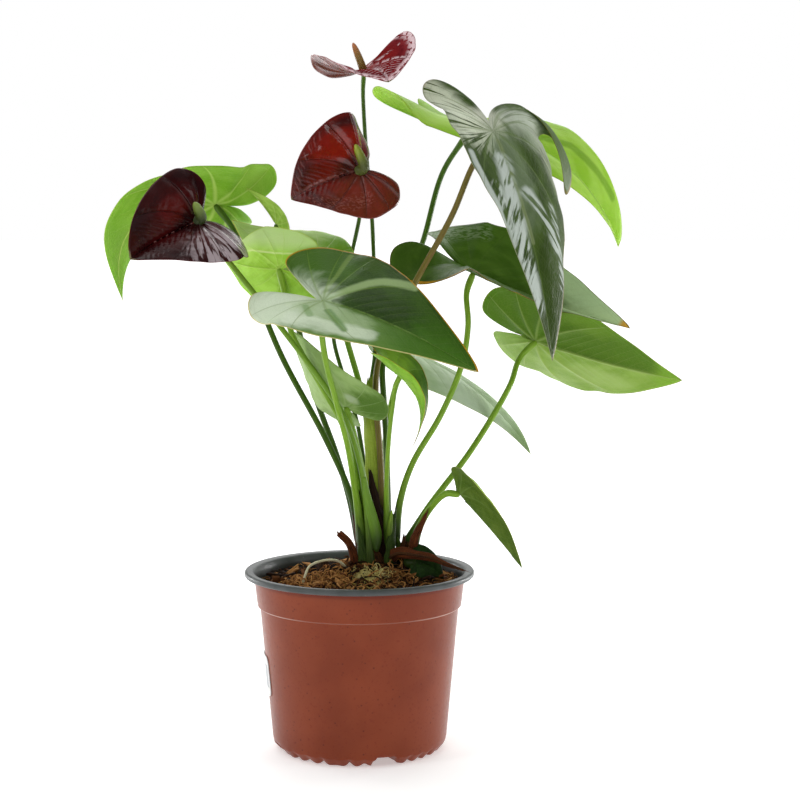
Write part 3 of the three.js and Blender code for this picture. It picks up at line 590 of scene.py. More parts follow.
def add_turned(piece, profile, finish, sides=288):
    """Adds a profile turned about the axis, its foot notched by the drain channels and small scallops."""
    angle = CIRCLE * np.arange(sides) / sides
    r, z = profile[:, 0][:, None], profile[:, 1][:, None]
    mouth = in_channel(angle)[None]
    uneven = 0.55 + 0.45 * np.sin(angle * 5 + 1.3) * np.sin(angle * 13 + 0.4)
    arches = 1 - np.abs(np.sin(angle * SCALLOP["count"] + 0.35 * np.sin(angle * 7)))
    scallop = (SCALLOP["height"] * uneven * arches)[None]
    low = np.clip(1 - z / (CHANNEL["height"] + 1), 0, 1) * (r > CHANNEL["start"])
    outer = low * (r > POT["foot"] - SCALLOP["ring"])
    z = np.maximum(z, mouth * CHANNEL["height"] * (low > 0)) + scallop * outer * (mouth < 0.01)
    r = r + 0 * angle
    wall = np.stack([r * np.cos(angle), r * np.sin(angle), z + 0 * r], axis=2)
    rows = len(profile)
    place = np.stack([np.tile(angle * 80, rows), z.ravel(), r.ravel()], axis=1)
    piece.add(wall.reshape(-1, 3), band_faces(rows, sides), finish, place)


def make_label():
    """A rounded sticker that lies on the left of the pot's body."""
    p, q = POT, LABEL
    columns, rows = 40, 30
    u, v = np.meshgrid(np.linspace(-1, 1, columns + 1), np.linspace(-1, 1, rows + 1), indexing="ij")
    across, high = u * q["width"] / 2, v * q["height"] / 2
    inset_x, inset_z = q["width"] / 2 - q["corner"], q["height"] / 2 - q["corner"]
    over_x, over_z = np.abs(across) - inset_x, np.abs(high) - inset_z
    at_corner = (over_x > 0) & (over_z > 0)
    far = np.where(at_corner, np.hypot(over_x, over_z), 1)
    pull = np.minimum(q["corner"] / far, 1)
    across = np.where(at_corner, np.sign(across) * (inset_x + over_x * pull), across)
    high = np.where(at_corner, np.sign(high) * (inset_z + over_z * pull), high)
    z = q["middle"] + high
    up_body = (z - p["chamfer"]) / (p["collar_at"] - p["chamfer"])
    radius = p["body_foot"] + (p["body_top"] - p["body_foot"]) * up_body
    piece = Piece()
    layers = []
    for lift in (q["gap"] - 0.15, q["gap"] + q["thick"]):
        angle = math.pi + across / radius
        layers.append(np.stack([(radius + lift) * np.cos(angle), (radius + lift) * np.sin(angle), z],
                               axis=2))
    points = np.vstack([layer.reshape(-1, 3) for layer in layers])
    place = np.stack([across.ravel(), high.ravel(), 0 * high.ravel()], axis=1)
    piece.add(points, slab_faces(columns, rows, False), "label_paper", np.vstack([place, place]))
    piece.make("label_sticker", "label_paper", "label")


# ---------------------------------------------------------------- soil
def soil_height(x, y):
    """Height of the soil: a mound about the crown that falls to the wall."""
    far = np.hypot(x - CROWN[0], y - CROWN[1])
    return SOIL["edge"] + SOIL["mound"] * np.exp(-((far / SOIL["spread"]) ** 2))


def add_soil_bed(piece):
    """Adds the bed of fine coir under the chips, as a disc with a wall down into the pot."""
    rings, sides = 44, 120
    share = np.linspace(0, 1, rings + 1)[1:]
    angle = CIRCLE * np.arange(sides) / sides
    x = (share[:, None] * SOIL["radius"] * np.cos(angle)).ravel()
    y = (share[:, None] * SOIL["radius"] * np.sin(angle)).ravel()
    rough = 1.6 * waves(x / 18, y / 18, 3) + 1.1 * waves(x / 5, y / 5, 4)
    z = soil_height(x, y) + rough - 0.5
    inside = [(POT["collar_foot"] - 2.4, POT["collar_at"] + 1.2),
              (POT["body_top"] - 1.9, POT["collar_at"] - 0.6),
              (POT["body_foot"] - 1.9, 8.5)]
    walls = [np.stack([np.cos(angle) * r, np.sin(angle) * r, 0 * angle + low], axis=1) for r, low in inside]
    points = np.vstack([[[0, 0, soil_height(0.0, 0.0)]], np.stack([x, y, z], axis=1), *walls,
                        [[0, 0, 8.5]]])
    faces = [(0, 1 + i, 1 + (i + 1) % sides) for i in range(sides)]
    for ring in range(rings + len(inside) - 1):
        a = 1 + ring * sides
        faces += [(a + i, a + sides + i, a + sides + (i + 1) % sides,
                   a + (i + 1) % sides) for i in range(sides)]
    last, base = 1 + (rings + len(inside) - 1) * sides, len(points) - 1
    faces += [(last + i, base, last + (i + 1) % sides) for i in range(sides)]
    piece.add(points, faces, "coir", np.full((len(points), 3), 0.03))


def add_chips(piece, rng, count, least, most, heap):
    """Adds split, blocky bits of coconut husk, between two sizes, that lie at all angles up to heap high."""
    box = np.array([(-1, -1, -1), (1, -1, -1), (1, 1, -1), (-1, 1, -1), (-1, -1, 1), (1, -1, 1), (1, 1, 1),
                    (-1, 1, 1)])
    sides = [(0, 3, 2, 1), (4, 5, 6, 7), (0, 1, 5, 4), (1, 2, 6, 5), (2, 3, 7, 6), (3, 0, 4, 7)]
    for _ in range(count):
        far, angle = (SOIL["radius"] - 1.2 * most[0]) * math.sqrt(rng.uniform()), rng.uniform(0, CIRCLE)
        x, y = far * math.cos(angle), far * math.sin(angle)
        size = rng.uniform(least, most)
        corners = box * size * rng.uniform(0.7, 1.15, (8, 1)) + rng.normal(0, 0.25, (8, 3))
        turn, tilt = rng.uniform(0, CIRCLE), rng.normal(0, 0.45)
        spin = np.array([[math.cos(turn), -math.sin(turn), 0], [math.sin(turn), math.cos(turn), 0],
                         [0, 0, 1]])
        lean = np.array([[math.cos(tilt), 0, math.sin(tilt)], [0, 1, 0],
                         [-math.sin(tilt), 0, math.cos(tilt)]])
        points = corners @ lean.T @ spin.T + [x, y, soil_height(x, y) + rng.uniform(0, heap)]
        tint = np.tile([rng.uniform(), rng.uniform(), 0], (8, 1))
        piece.add(points, sides, "coir", tint)


def add_fibres(piece, rng, count, middle, spread, length, radius, tint, height, curl):
    """Adds thin bent fibres about a place on the bed, each as a four-sided tube."""
    for _ in range(count):
        angle = rng.uniform(0, CIRCLE)
        far = spread * math.sqrt(rng.uniform())
        x, y = middle[0] + far * math.cos(angle), middle[1] + far * math.sin(angle)
        heading, bend, steps = rng.uniform(0, CIRCLE), rng.normal(0, curl), 7
        reach = rng.uniform(*length)
        turns = heading + bend * np.arange(steps)
        step = reach / steps
        px = x + np.concatenate([[0], np.cumsum(np.cos(turns) * step)])
        py = y + np.concatenate([[0], np.cumsum(np.sin(turns) * step)])
        limit = SOIL["radius"] - 1.5
        shrink = np.minimum(1, limit / np.maximum(np.hypot(px, py), 1e-6))
        px, py = px * shrink, py * shrink
        arc = np.sin(np.linspace(0, math.pi, steps + 1)) * rng.uniform(0.2, 1) * height
        pz = soil_height(px, py) + rng.uniform(0.2, 1.8) + arc + rng.normal(0, 0.25, steps + 1)
        thick = rng.uniform(*radius) * np.linspace(1, 0.45, steps + 1)
        wall, faces, _ = tube(np.stack([px, py, pz], axis=1), thick, sides=4)
        shade = np.tile([rng.uniform(*tint), rng.uniform(), 1], (len(wall), 1))
        piece.add(wall, faces, "coir", shade)


def make_soil():
    """The bed, its chips and its fibres: thin ones all over, thick curls in front of the crown and straw at
    its foot."""
    chips = [(1100, (1.2, 0.7, 0.3), (4.2, 2.2, 1.0), 2.2), (260, (3.5, 1.6, 0.7), (8.5, 3.6, 1.6), 4.2)]
    # how many, their middle and spread, then ranges of length, radius and tint, and their height and curl
    fibres = [
        (900, (0, 0), 71, (8, 26), (0.2, 0.5), (0.05, 0.8), 4, 0.5),
        (170, (0, -36), 44, (12, 28), (0.4, 0.85), (0.6, 0.9), 9, 0.9),
        (170, (0, -36), 46, (12, 28), (0.4, 0.8), (0.05, 0.55), 9, 0.9),
        (160, (-30, -30), 24, (10, 24), (0.4, 0.8), (0.62, 0.88), 9, 0.9),
        (330, (9, -24), 12, (6, 17), (0.22, 0.42), (1.22, 1.41), 7, 0.95),
        (120, (-6, -38), 30, (8, 26), (0.2, 0.36), (1.05, 1.3), 6, 0.7),
    ]
    rng = np.random.default_rng(21)
    piece = Piece()
    add_soil_bed(piece)
    for row in chips:
        add_chips(piece, rng, *row)
    for row in fibres:
        add_fibres(piece, rng, *row)
    piece.make("soil_coir", "coir", "soil")


# ---------------------------------------------------------------- crown and dry pieces
def add_bract(piece, route, width, finish, cup=0.5, tip=0.15, seed=1, axis=CROWN, torn=0.08, foot=0.0):
    """Adds a cupped sheath that stands along the route, its back to the axis. cup: how deep it is; tip: its
    width there; torn: how ragged it is; foot: the share of its length over which its lower end is
    rounded."""
    steps, across = 26, 12
    points = smooth_route(route, steps)
    t = np.linspace(0, 1, steps + 1)
    tangents = unit(np.gradient(points, axis=0))
    out = np.column_stack([points[:, 0] - axis[0], points[:, 1] - axis[1], 0 * t])
    out = unit(out - tangents * np.sum(out * tangents, axis=1)[:, None])
    side = np.cross(tangents, out)
    rng = np.random.default_rng(seed)
    wobble = min(0.1, torn) * np.sin(t * 23 + rng.uniform(0, 6))
    half = width / 2 * (1 - (1 - tip) * t**1.5) * (1 + wobble)
    if foot:
        half = half * np.sqrt(np.clip(t / foot, 0.04, 1))
    s = np.linspace(-1, 1, across + 1)
    ends = torn * rng.normal(0, 1, across + 1)
    walls, places = [], []
    for lift in (0.25, -0.25):
        reach = side[:, None] * (s * half[:, None])[:, :, None]
        sink = -out[:, None] * (s**2 * half[:, None] * cup)[:, :, None]
        pull = tangents[-1] * (ends[None, :, None] * 30 * (t**6)[:, None, None])
        walls.append((points[:, None] + reach + sink + out[:, None] * lift + pull).reshape(-1, 3))
        places.append(np.stack([np.tile(s, steps + 1) * 0.5, np.repeat(t, across + 1),
                                np.repeat(t, across + 1) * 60], axis=1))
    piece.add(np.vstack(walls), slab_faces(steps, across, True), finish, np.vstack(places))


def add_knobbly(piece, axis, profile, finish, seed, depth=1.1):
    """Adds a turned lump with scars and wrinkles."""
    sides = 56
    profile = rounded(profile, radius=3, cuts=5)
    rows = len(profile)
    angle = CIRCLE * np.arange(sides) / sides
    r, z = profile[:, 0][:, None] + 0 * angle, profile[:, 1][:, None] + 0 * angle
    bumps = waves(np.cos(angle) * 2 + z / 14, np.sin(angle) * 2 - z / 9, seed)
    r = r * (1 + 0.06 * np.sin(z * 1.3 + 2 * np.sin(angle * 2))) + bumps * depth * (r > 0.1)
    r = np.where(profile[:, 0][:, None] < 0.1, 0.02, np.maximum(r, 0.1))
    wall = np.stack([axis[0] + r * np.cos(angle), axis[1] + r * np.sin(angle), z], axis=2).reshape(-1, 3)
    faces = band_faces(rows, sides) + [range(sides - 1, -1, -1), (rows - 1) * sides + np.arange(sides)]
    place = np.stack([np.tile(angle / CIRCLE, rows), z.ravel() / 60, z.ravel()], axis=1)
    piece.add(wall, faces, finish, place)


def add_bud(piece, route, finish):
    """Adds a blunt green bud."""
    radius = 2.7 * np.sqrt(np.clip(1 - np.linspace(0, 1, 25) ** 2.2, 0.02, 1))
    add_tube(piece, route, 24, radius, finish, 14)


def make_crown():
    """The crown with the cupped sheaths about it, its loose threads and the green bud."""
    piece = Piece()
    add_knobbly(piece, CROWN, [(0, 118), (11, 118), (13, 136), (12, 146), (9.5, 154), (6, 160), (0, 163)],
                "dry_brown", 5)
    bracts = [
        ([(3, 2, 138), (-1, -1, 172), (-2, -2, 190), (-1, -3, 205)], 11, 0.5, "dry_dark"),
        ([(15, 1, 138), (16, -1, 160), (11, -2, 186), (8, -1, 207)], 15, 0.4, "dry_dark"),
        ([(20, 5, 138), (21, 3, 165), (19, 4, 184)], 10, 0.45, "dry_dark"),
        ([(10, -1, 132), (9, -4, 144), (9, -5, 154)], 22, 0.3, "dry_brown"),
        ([(22, 10, 134), (25, 9, 152), (25, 9, 170)], 13, 0.4, "sheath_dark"),
        ([(24, -1, 138), (25, -2, 156), (27, 0, 178)], 11, 0.5, "sheath_dark"),
        ([(3, -4, 132), (1, -5, 148), (-1, -6, 166)], 11, 0.6, "sheath_dark"),
        ([(-1, 9, 134), (-3, 8, 152), (-5, 8, 172)], 13, 0.4, "dry_brown"),
        ([(12, 25, 134), (12, 27, 152), (11, 28, 168)], 16, 0.35, "dry_brown"),
    ]
    for seed, (route, width, cup, finish) in enumerate(bracts):
        add_bract(piece, route, width, finish, cup=cup, seed=seed)
    rng = np.random.default_rng(5)
    for _ in range(46):
        angle, z = rng.uniform(0, CIRCLE), rng.uniform(134, 150)
        out = np.array([math.cos(angle), math.sin(angle)])
        foot = CROWN + out * 11.5
        end = CROWN + out * rng.uniform(13, 18) + rng.normal(0, 2, 2)
        middle = (foot + end) / 2 + rng.normal(0, 1, 2)
        route = [(*foot, z), (*middle, z + rng.uniform(-2, 7)), (*end, z + rng.uniform(-8, 10))]
        add_tube(piece, route, 7, rng.uniform(0.15, 0.4) * np.linspace(1, 0.4, 8), "dry_brown", 5)
    add_bud(piece, [(21, 6, 144), (22, -1, 160), (23, -3, 170), (24, -3, 178)], "bud_green")
    piece.make("crown_bark", "crown_bark", "crown")


def make_side_crown():
    piece = Piece()
    add_knobbly(piece, SIDE_CROWN, [(0, 122), (6, 122), (7.2, 138), (6, 146), (3.2, 151), (0, 153)],
                "dry_brown", 8, 0.6)
    add_bract(piece, [(37, -2, 146), (40, -6, 158), (46, -11, 170), (50, -14, 179)], 8.5, "dry_red",
              cup=0.5, seed=12,
              axis=np.array([60.0, 20.0]))
    add_bract(piece, [(33, 4, 138), (32, 2, 148), (33, 1, 158)], 9, "dry_brown", cup=0.4, seed=13,
              axis=SIDE_CROWN)
    add_bud(piece, [(29, 9, 140), (29, 7.6, 150), (28, 6.6, 156.5)], "stalk_light")
    piece.make("side_crown_bark", "crown_bark", "side_crown")


def make_sheaths():
    """The sheaths that stand in the middle of the crown, the cut stub, the dry strip and the root in the
    air."""
    pale = Piece()
    add_bract(pale, [(13, 9, 156), (11, 7, 200), (8, 6, 230), (6, 5.5, 250), (8, 5, 274)], 17,
              "sheath_olive", cup=0.35,
              tip=0.3, seed=31)
    add_tube(pale, [(11, 11, 158), (8, 9, 218), (6, 7, 244), (8, 6, 272)], 60, (2.6, 0.8), "sheath_olive",
             14)
    pale.make("sheath_pale_skin", "sheath", "sheath_pale")
    brown = Piece()
    add_bract(brown, [(15, 17, 158), (15, 14, 217), (14, 13.5, 243), (11, 13.5, 271)], 4.6, "sheath_rusty",
              cup=0.6,
              seed=32)
    add_tube(brown, [(15, 17, 158), (15, 14, 217), (14, 14, 243), (11, 14, 268)], 50, (1.6, 0.7),
             "sheath_rusty", 12)
    brown.make("sheath_brown_skin", "dry_sheath", "sheath_brown")
    stub = Piece()
    add_bract(stub, [(-3, 1, 134), (-8, -2, 152), (-16, -5, 161.5)], 6.6, "dry_red", cup=0.8, tip=0.85,
              seed=33,
              torn=0.01)
    add_tube(stub, [(-3, 2, 134), (-8, -1, 152), (-15.5, -4, 160.5)], 30, (2.6, 1.7), "dry_red", 12)
    stub.make("cut_stub_bark", "dry_sheath", "cut_stub")
    strip = Piece()
    route = [(18, 4, 139), (29, -9, 147), (42, -17, 147), (54, -19, 145), (64, -21, 141), (76, -22, 136.6)]
    add_bract(strip, route, 10, "dry_red", cup=0.4, tip=0.12, seed=34, axis=np.array([45.0, 200.0]))
    add_tube(strip, route, 50, (1.5, 0.5), "dry_brown", 10)
    strip.make("dry_sheath_strip", "dry_sheath", "dry_sheath")
    root = Piece()
    route = [(-42, -31, 124), (-39, -28, 134), (-36, -24, 140), (-27, -18, 143), (-16, -12, 142),
             (-8, -5, 134)]
    t = np.linspace(0, 1, 91)
    add_tube(root, route, 90, 0.85 + 0.2 * t + 0.05 * np.sin(t * 60) + 0.04 * np.sin(t * 151), "root_pale",
             12)
    root.make("aerial_root_skin", "root", "aerial_root")


# ---------------------------------------------------------------- materials
def colour(red, green, blue):
    """A paint colour from its usual 0 to 255 values."""
    return tuple((c / 12.92 if c <= 0.04045 else ((c + 0.055) / 1.055) ** 2.4)
                 for c in (red / 255, green / 255, blue / 255)) + (1.0,)


class Graph:
    """Adds nodes to a shader tree and joins them."""

    def __init__(self, tree):
        self.tree = tree

    def put(self, value, socket):
        if isinstance(value, bpy.types.NodeSocket):
            self.tree.links.new(value, socket)
        elif socket.type == "RGBA" and len(value) == 3:
            socket.default_value = colour(*value)
        else:
            socket.default_value = value

    def add(self, kind, inputs=None, **settings):
        node = self.tree.nodes.new("ShaderNode" + kind)
        for key, value in settings.items():
            setattr(node, key, value)
        for key, value in (inputs or {}).items():
            self.put(value, node.inputs[key])
        return node

    def math(self, operation, *values, clamp=False):
        node = self.add("Math", operation=operation, use_clamp=clamp)
        for value, socket in zip(values, node.inputs):
            self.put(value, socket)
        return node.outputs[0]

    def times(self, first, second, clamp=False):
        return self.math("MULTIPLY", first, second, clamp=clamp)

    def times_plus(self, first, second, more):
        return self.math("MULTIPLY_ADD", first, second, more)

    def rest(self, value):
        """What is left of 1."""
        return self.math("SUBTRACT", 1.0, value)

    def parts(self, vector):
        return self.add("SeparateXYZ", {0: vector}).outputs

    def step(self, value, low, high):
        """Smoothly from 0 at low to 1 at high."""
        node = self.add("MapRange", {0: value, 1: low, 2: high}, interpolation_type="SMOOTHSTEP")
        return node.outputs[0]

    def mix(self, share, first, second):
        node = self.add("Mix", {0: share, 6: first, 7: second}, data_type="RGBA")
        return node.outputs[2]

    def noise(self, place, scale, detail=3.0, stretch=None):
        if stretch:
            place = self.add("VectorMath", {0: place, 1: stretch}, operation="MULTIPLY").outputs[0]
        node = self.add("TexNoise", {"Vector": place, "Scale": scale, "Detail": detail})
        return node.outputs[0]

    def use(self, group, **inputs):
        node = self.tree.nodes.new("ShaderNodeGroup")
        node.node_tree = group
        for key, value in inputs.items():
            self.put(value, node.inputs[key.replace("_", " ")])
        return node


def new_group(name, inputs, outputs):
    """An empty node group with its sockets, its graph and its two ends."""
    tree = bpy.data.node_groups.new(name, "ShaderNodeTree")
    for label, kind, default in inputs:
        socket = tree.interface.new_socket(label, in_out="INPUT", socket_type=kind)
        if default is not None:
            socket.default_value = default
    for label, kind in outputs:
        tree.interface.new_socket(label, in_out="OUTPUT", socket_type=kind)
    graph = Graph(tree)
    return tree, graph, tree.nodes.new("NodeGroupInput"), tree.nodes.new("NodeGroupOutput")


def vein_group():
    """Masks of the veins of a blade from its flat place: main veins, side veins, the net between and the
    hem."""
    tree, g, start, end = new_group(
        "Leaf veins", [("Place", "NodeSocketVector", None), ("Width", "NodeSocketFloat", 1.0)],
        [("Main", "NodeSocketFloat"), ("Side", "NodeSocketFloat"), ("Net", "NodeSocketFloat"),
         ("Hem", "NodeSocketFloat")])
    place = start.outputs["Place"]
    parts = g.parts(place)
    across = g.math("ABSOLUTE", parts[0])
    ahead = g.math("SUBTRACT", parts[1], BLADE["joint"])
    radius = g.math("SQRT", g.math("ADD", g.times(across, across), g.times(ahead, ahead)))
    angle = g.math("DEGREES", g.math("ARCTAN2", across, ahead))
    angle = g.times_plus(radius, float(VEIN_TURN), angle)
    in_front = g.math("GREATER_THAN", ahead, 0.0)
    main = g.times_plus(g.rest(in_front), radius, across)
    for vein in MAIN_VEINS:
        off = g.math("ABSOLUTE", g.math("SUBTRACT", angle, float(vein)))
        main = g.math("MINIMUM", main, g.times(radius, g.math("RADIANS", off)))
    slope = g.times(across, -SIDE_VEINS["slope"])
    curve = g.times(g.times(across, across), -SIDE_VEINS["curve"])
    from_joint = g.math("ADD", g.math("ADD", parts[1], slope), g.math("ADD", curve, -SIDE_VEINS["first"]))
    phase = g.math("DIVIDE", from_joint, SIDE_VEINS["spacing"])
    side = g.times(g.math("PINGPONG", phase, 0.5), SIDE_VEINS["spacing"])
    valid = g.math("GREATER_THAN", from_joint, -0.5 * SIDE_VEINS["spacing"])
    width = start.outputs["Width"]
    taper = g.times(width, g.math("SUBTRACT", 1.15, parts[2]))
    main_mask = g.rest(g.step(main, 0.0, g.times(taper, 0.016)))
    side_mask = g.rest(g.step(side, 0.0, g.times(taper, 0.008)))
    side_mask = g.times(side_mask, valid)
    cells = g.add("TexVoronoi", {"Vector": place, "Scale": 34.0}, feature="DISTANCE_TO_EDGE").outputs[0]
    net = g.rest(g.step(cells, 0.0, 0.12))
    collective = g.math("ABSOLUTE", g.math("SUBTRACT", parts[2], 0.93))
    side_mask = g.math("MAXIMUM", side_mask, g.math("SUBTRACT", 0.7, g.step(collective, 0.0, 0.012)))
    g.put(main_mask, end.inputs["Main"])
    g.put(side_mask, end.inputs["Side"])
    g.put(net, end.inputs["Net"])
    g.put(g.step(parts[2], 0.988, 0.999), end.inputs["Hem"])
    return tree


def mottle_group():
    """Soft blotches and fine specks of a surface, from any place."""
    tree, g, start, end = new_group(
        "Mottle",
        [("Place", "NodeSocketVector", None), ("Size", "NodeSocketFloat", 4.0),
         ("Specks", "NodeSocketFloat", 60.0)],
        [("Blotch", "NodeSocketFloat"), ("Fine", "NodeSocketFloat"), ("Speck", "NodeSocketFloat")])
    place, size = start.outputs["Place"], start.outputs["Size"]
    g.put(g.step(g.noise(place, size, 3.0), 0.36, 0.64), end.inputs["Blotch"])
    g.put(g.noise(place, g.times(size, 11.0), 4.0), end.inputs["Fine"])
    dots = g.add("TexVoronoi", {"Vector": place, "Scale": start.outputs["Specks"]}).outputs[0]
    chance = g.noise(place, g.times(start.outputs["Specks"], 0.3), 2.0)
    speck = g.rest(g.step(dots, 0.08, 0.22))
    g.put(g.times(speck, g.step(chance, 0.5, 0.62)), end.inputs["Speck"])
    return tree


def new_finish(name, rough=0.5, **fixed):
    """A material with one Principled shader, whose steady numbers are set on its own sockets."""
    material = bpy.data.materials.new(name)
    material.use_nodes = True
    shader = material.node_tree.nodes["Principled BSDF"]
    shader.inputs["Roughness"].default_value = rough
    for key, value in fixed.items():
        shader.inputs[key.replace("_", " ")].default_value = value
    FINISHES[name] = material
    return Graph(material.node_tree), shader


def place_of(g):
    """The place that each piece carries for its material."""
    return g.add("Attribute", attribute_name="place").outputs["Vector"]


def bump(g, shader, height, strength=0.5, depth=0.0004):
    node = g.add("Bump", {"Strength": strength, "Distance": depth, "Height": height})
    g.put(node.outputs[0], shader.inputs["Normal"])


def line_distance(g, parts, line):
    """How far a flat place lies from a line through flat points, in blade lengths."""
    nearest = 9.0
    for (x0, y0), (x1, y1) in zip(line, line[1:]):
        run, rise = x1 - x0, y1 - y0
        from_x, from_y = g.math("SUBTRACT", parts[0], x0), g.math("SUBTRACT", parts[1], y0)
        on = g.times_plus(from_x, run, g.times(from_y, rise))
        on = g.math("DIVIDE", on, run * run + rise * rise, clamp=True)
        off_x = g.times_plus(on, -run, from_x)
        off_y = g.times_plus(on, -rise, from_y)
        far = g.math("SQRT", g.times_plus(off_x, off_x, g.times(off_y, off_y)))
        nearest = g.math("MINIMUM", nearest, far)
    return nearest


def spot(at, size, paint, share=1.0, ragged=0.7, **more):
    return dict(at=at, size=size, paint=paint, share=share, ragged=ragged, **more)


def streak(line, wide, paint, share=1.0, ragged=0.7, **more):
    return dict(line=line, wide=wide, paint=paint, share=share, ragged=ragged, **more)


def patched(g, place, paint, patches):
    """The paint with patches on it. A patch lies at a flat place (at, size) or along a line of flat points
    (line, wide); edge keeps it to the margin, and rays, bars or flecks break it up along the main veins,
    along the side veins or at random, by how much of the grain stays out."""
    parts = g.parts(place)
    ahead = g.math("SUBTRACT", parts[1], BLADE["joint"])
    turn = g.math("DEGREES", g.math("ARCTAN2", parts[0], ahead))
    out = g.math("SQRT", g.times_plus(parts[0], parts[0], g.times(ahead, ahead)))
    uneven = g.math("SUBTRACT", g.noise(place, 8.0, 4.0), 0.5)
    sloped = g.times_plus(g.math("ABSOLUTE", parts[0]), -SIDE_VEINS["slope"], parts[1])
    by_ray = {0: g.times(turn, 0.22), 1: g.times(out, 4.0)}
    by_bar = {0: g.times(sloped, 26.0), 1: g.times(parts[0], 9.0)}
    grains = {"rays": g.noise(g.add("CombineXYZ", by_ray).outputs[0], 1.0, 4.0),
              "bars": g.noise(g.add("CombineXYZ", by_bar).outputs[0], 1.0, 5.0),
              "flecks": g.noise(place, 30.0, 5.0)}
    for patch in patches:
        if "line" in patch:
            far = g.math("DIVIDE", line_distance(g, parts, patch["line"]), float(patch["wide"]))
        else:
            aside = g.math("DIVIDE", g.math("SUBTRACT", parts[0], patch["at"][0]), patch["size"][0])
            on = g.math("DIVIDE", g.math("SUBTRACT", parts[1], patch["at"][1]), patch["size"][1])
            far = g.math("SQRT", g.times_plus(aside, aside, g.times(on, on)))
        far = g.times_plus(uneven, patch["ragged"], far)
        mask = g.rest(g.step(far, 0.4, 1.1))
        if "edge" in patch:
            rim = g.times_plus(uneven, 0.09, parts[2])
            mask = g.times(mask, g.step(rim, patch["edge"], patch["edge"] + 0.02))
        for name, grain in grains.items():
            if name in patch:
                mask = g.times(mask, g.step(grain, patch[name], patch[name] + 0.09))
        paint = g.mix(g.times(mask, patch["share"]), paint, patch["paint"])
    return paint


def leaf_finish(name, main, shade, vein, hem=None, hem_from=0.985, rough=0.38, glow=0.0, raised=-1.0,
                net=0.3,
                veins=1.0, blister=0.5, other=None, patches=(), shine=0.12):
    """A leaf's face: blotched green, paler veins and hem, patches and a puckered surface. other is the
    paint of the right half, where the halves differ."""
    g, shader = new_finish(name, rough, Subsurface_Weight=glow, Subsurface_Radius=(0.6, 1.0, 0.25),
                           Subsurface_Scale=0.0016, Specular_IOR_Level=shine)
    place = place_of(g)
    marks = g.use(VEINS, Place=place, Width=1.0).outputs
    spots = g.use(MOTTLE, Place=place, Size=5.0, Specks=70.0).outputs
    green = g.mix(spots["Blotch"], main, shade)
    if other:
        across = g.parts(place)[0]
        green = g.mix(g.step(across, -0.015, 0.02), green, other)
    green = patched(g, place, green, patches)
    green = g.mix(g.times(spots["Fine"], 0.12), green, shade)
    green = g.mix(g.times(marks["Net"], 0.08 * veins), green, vein)
    green = g.mix(g.times(marks["Side"], 0.18 * veins), green, vein)
    green = g.mix(g.times(marks["Main"], 0.45 * veins), green, vein)
    if hem:
        sides = hem if isinstance(hem, list) else [hem, hem]
        parts = g.parts(place)
        margin = g.times(g.step(parts[2], hem_from, hem_from + 0.01), 0.8)
        green = g.mix(margin, green, g.mix(g.math("GREATER_THAN", parts[0], 0.0), *sides))
    g.put(green, shader.inputs["Base Color"])
    uneven = g.times_plus(spots["Fine"], 0.16, rough - 0.08)
    g.put(uneven, shader.inputs["Roughness"])
    height = g.times(marks["Main"], raised)
    height = g.times_plus(marks["Side"], 0.5 * raised, height)
    height = g.times_plus(marks["Net"], net * raised, height)
    height = g.times_plus(g.noise(place, 26.0, 3.0), blister, height)
    height = g.times_plus(spots["Fine"], 0.15, height)
    bump(g, shader, height, 0.5, 0.0005)


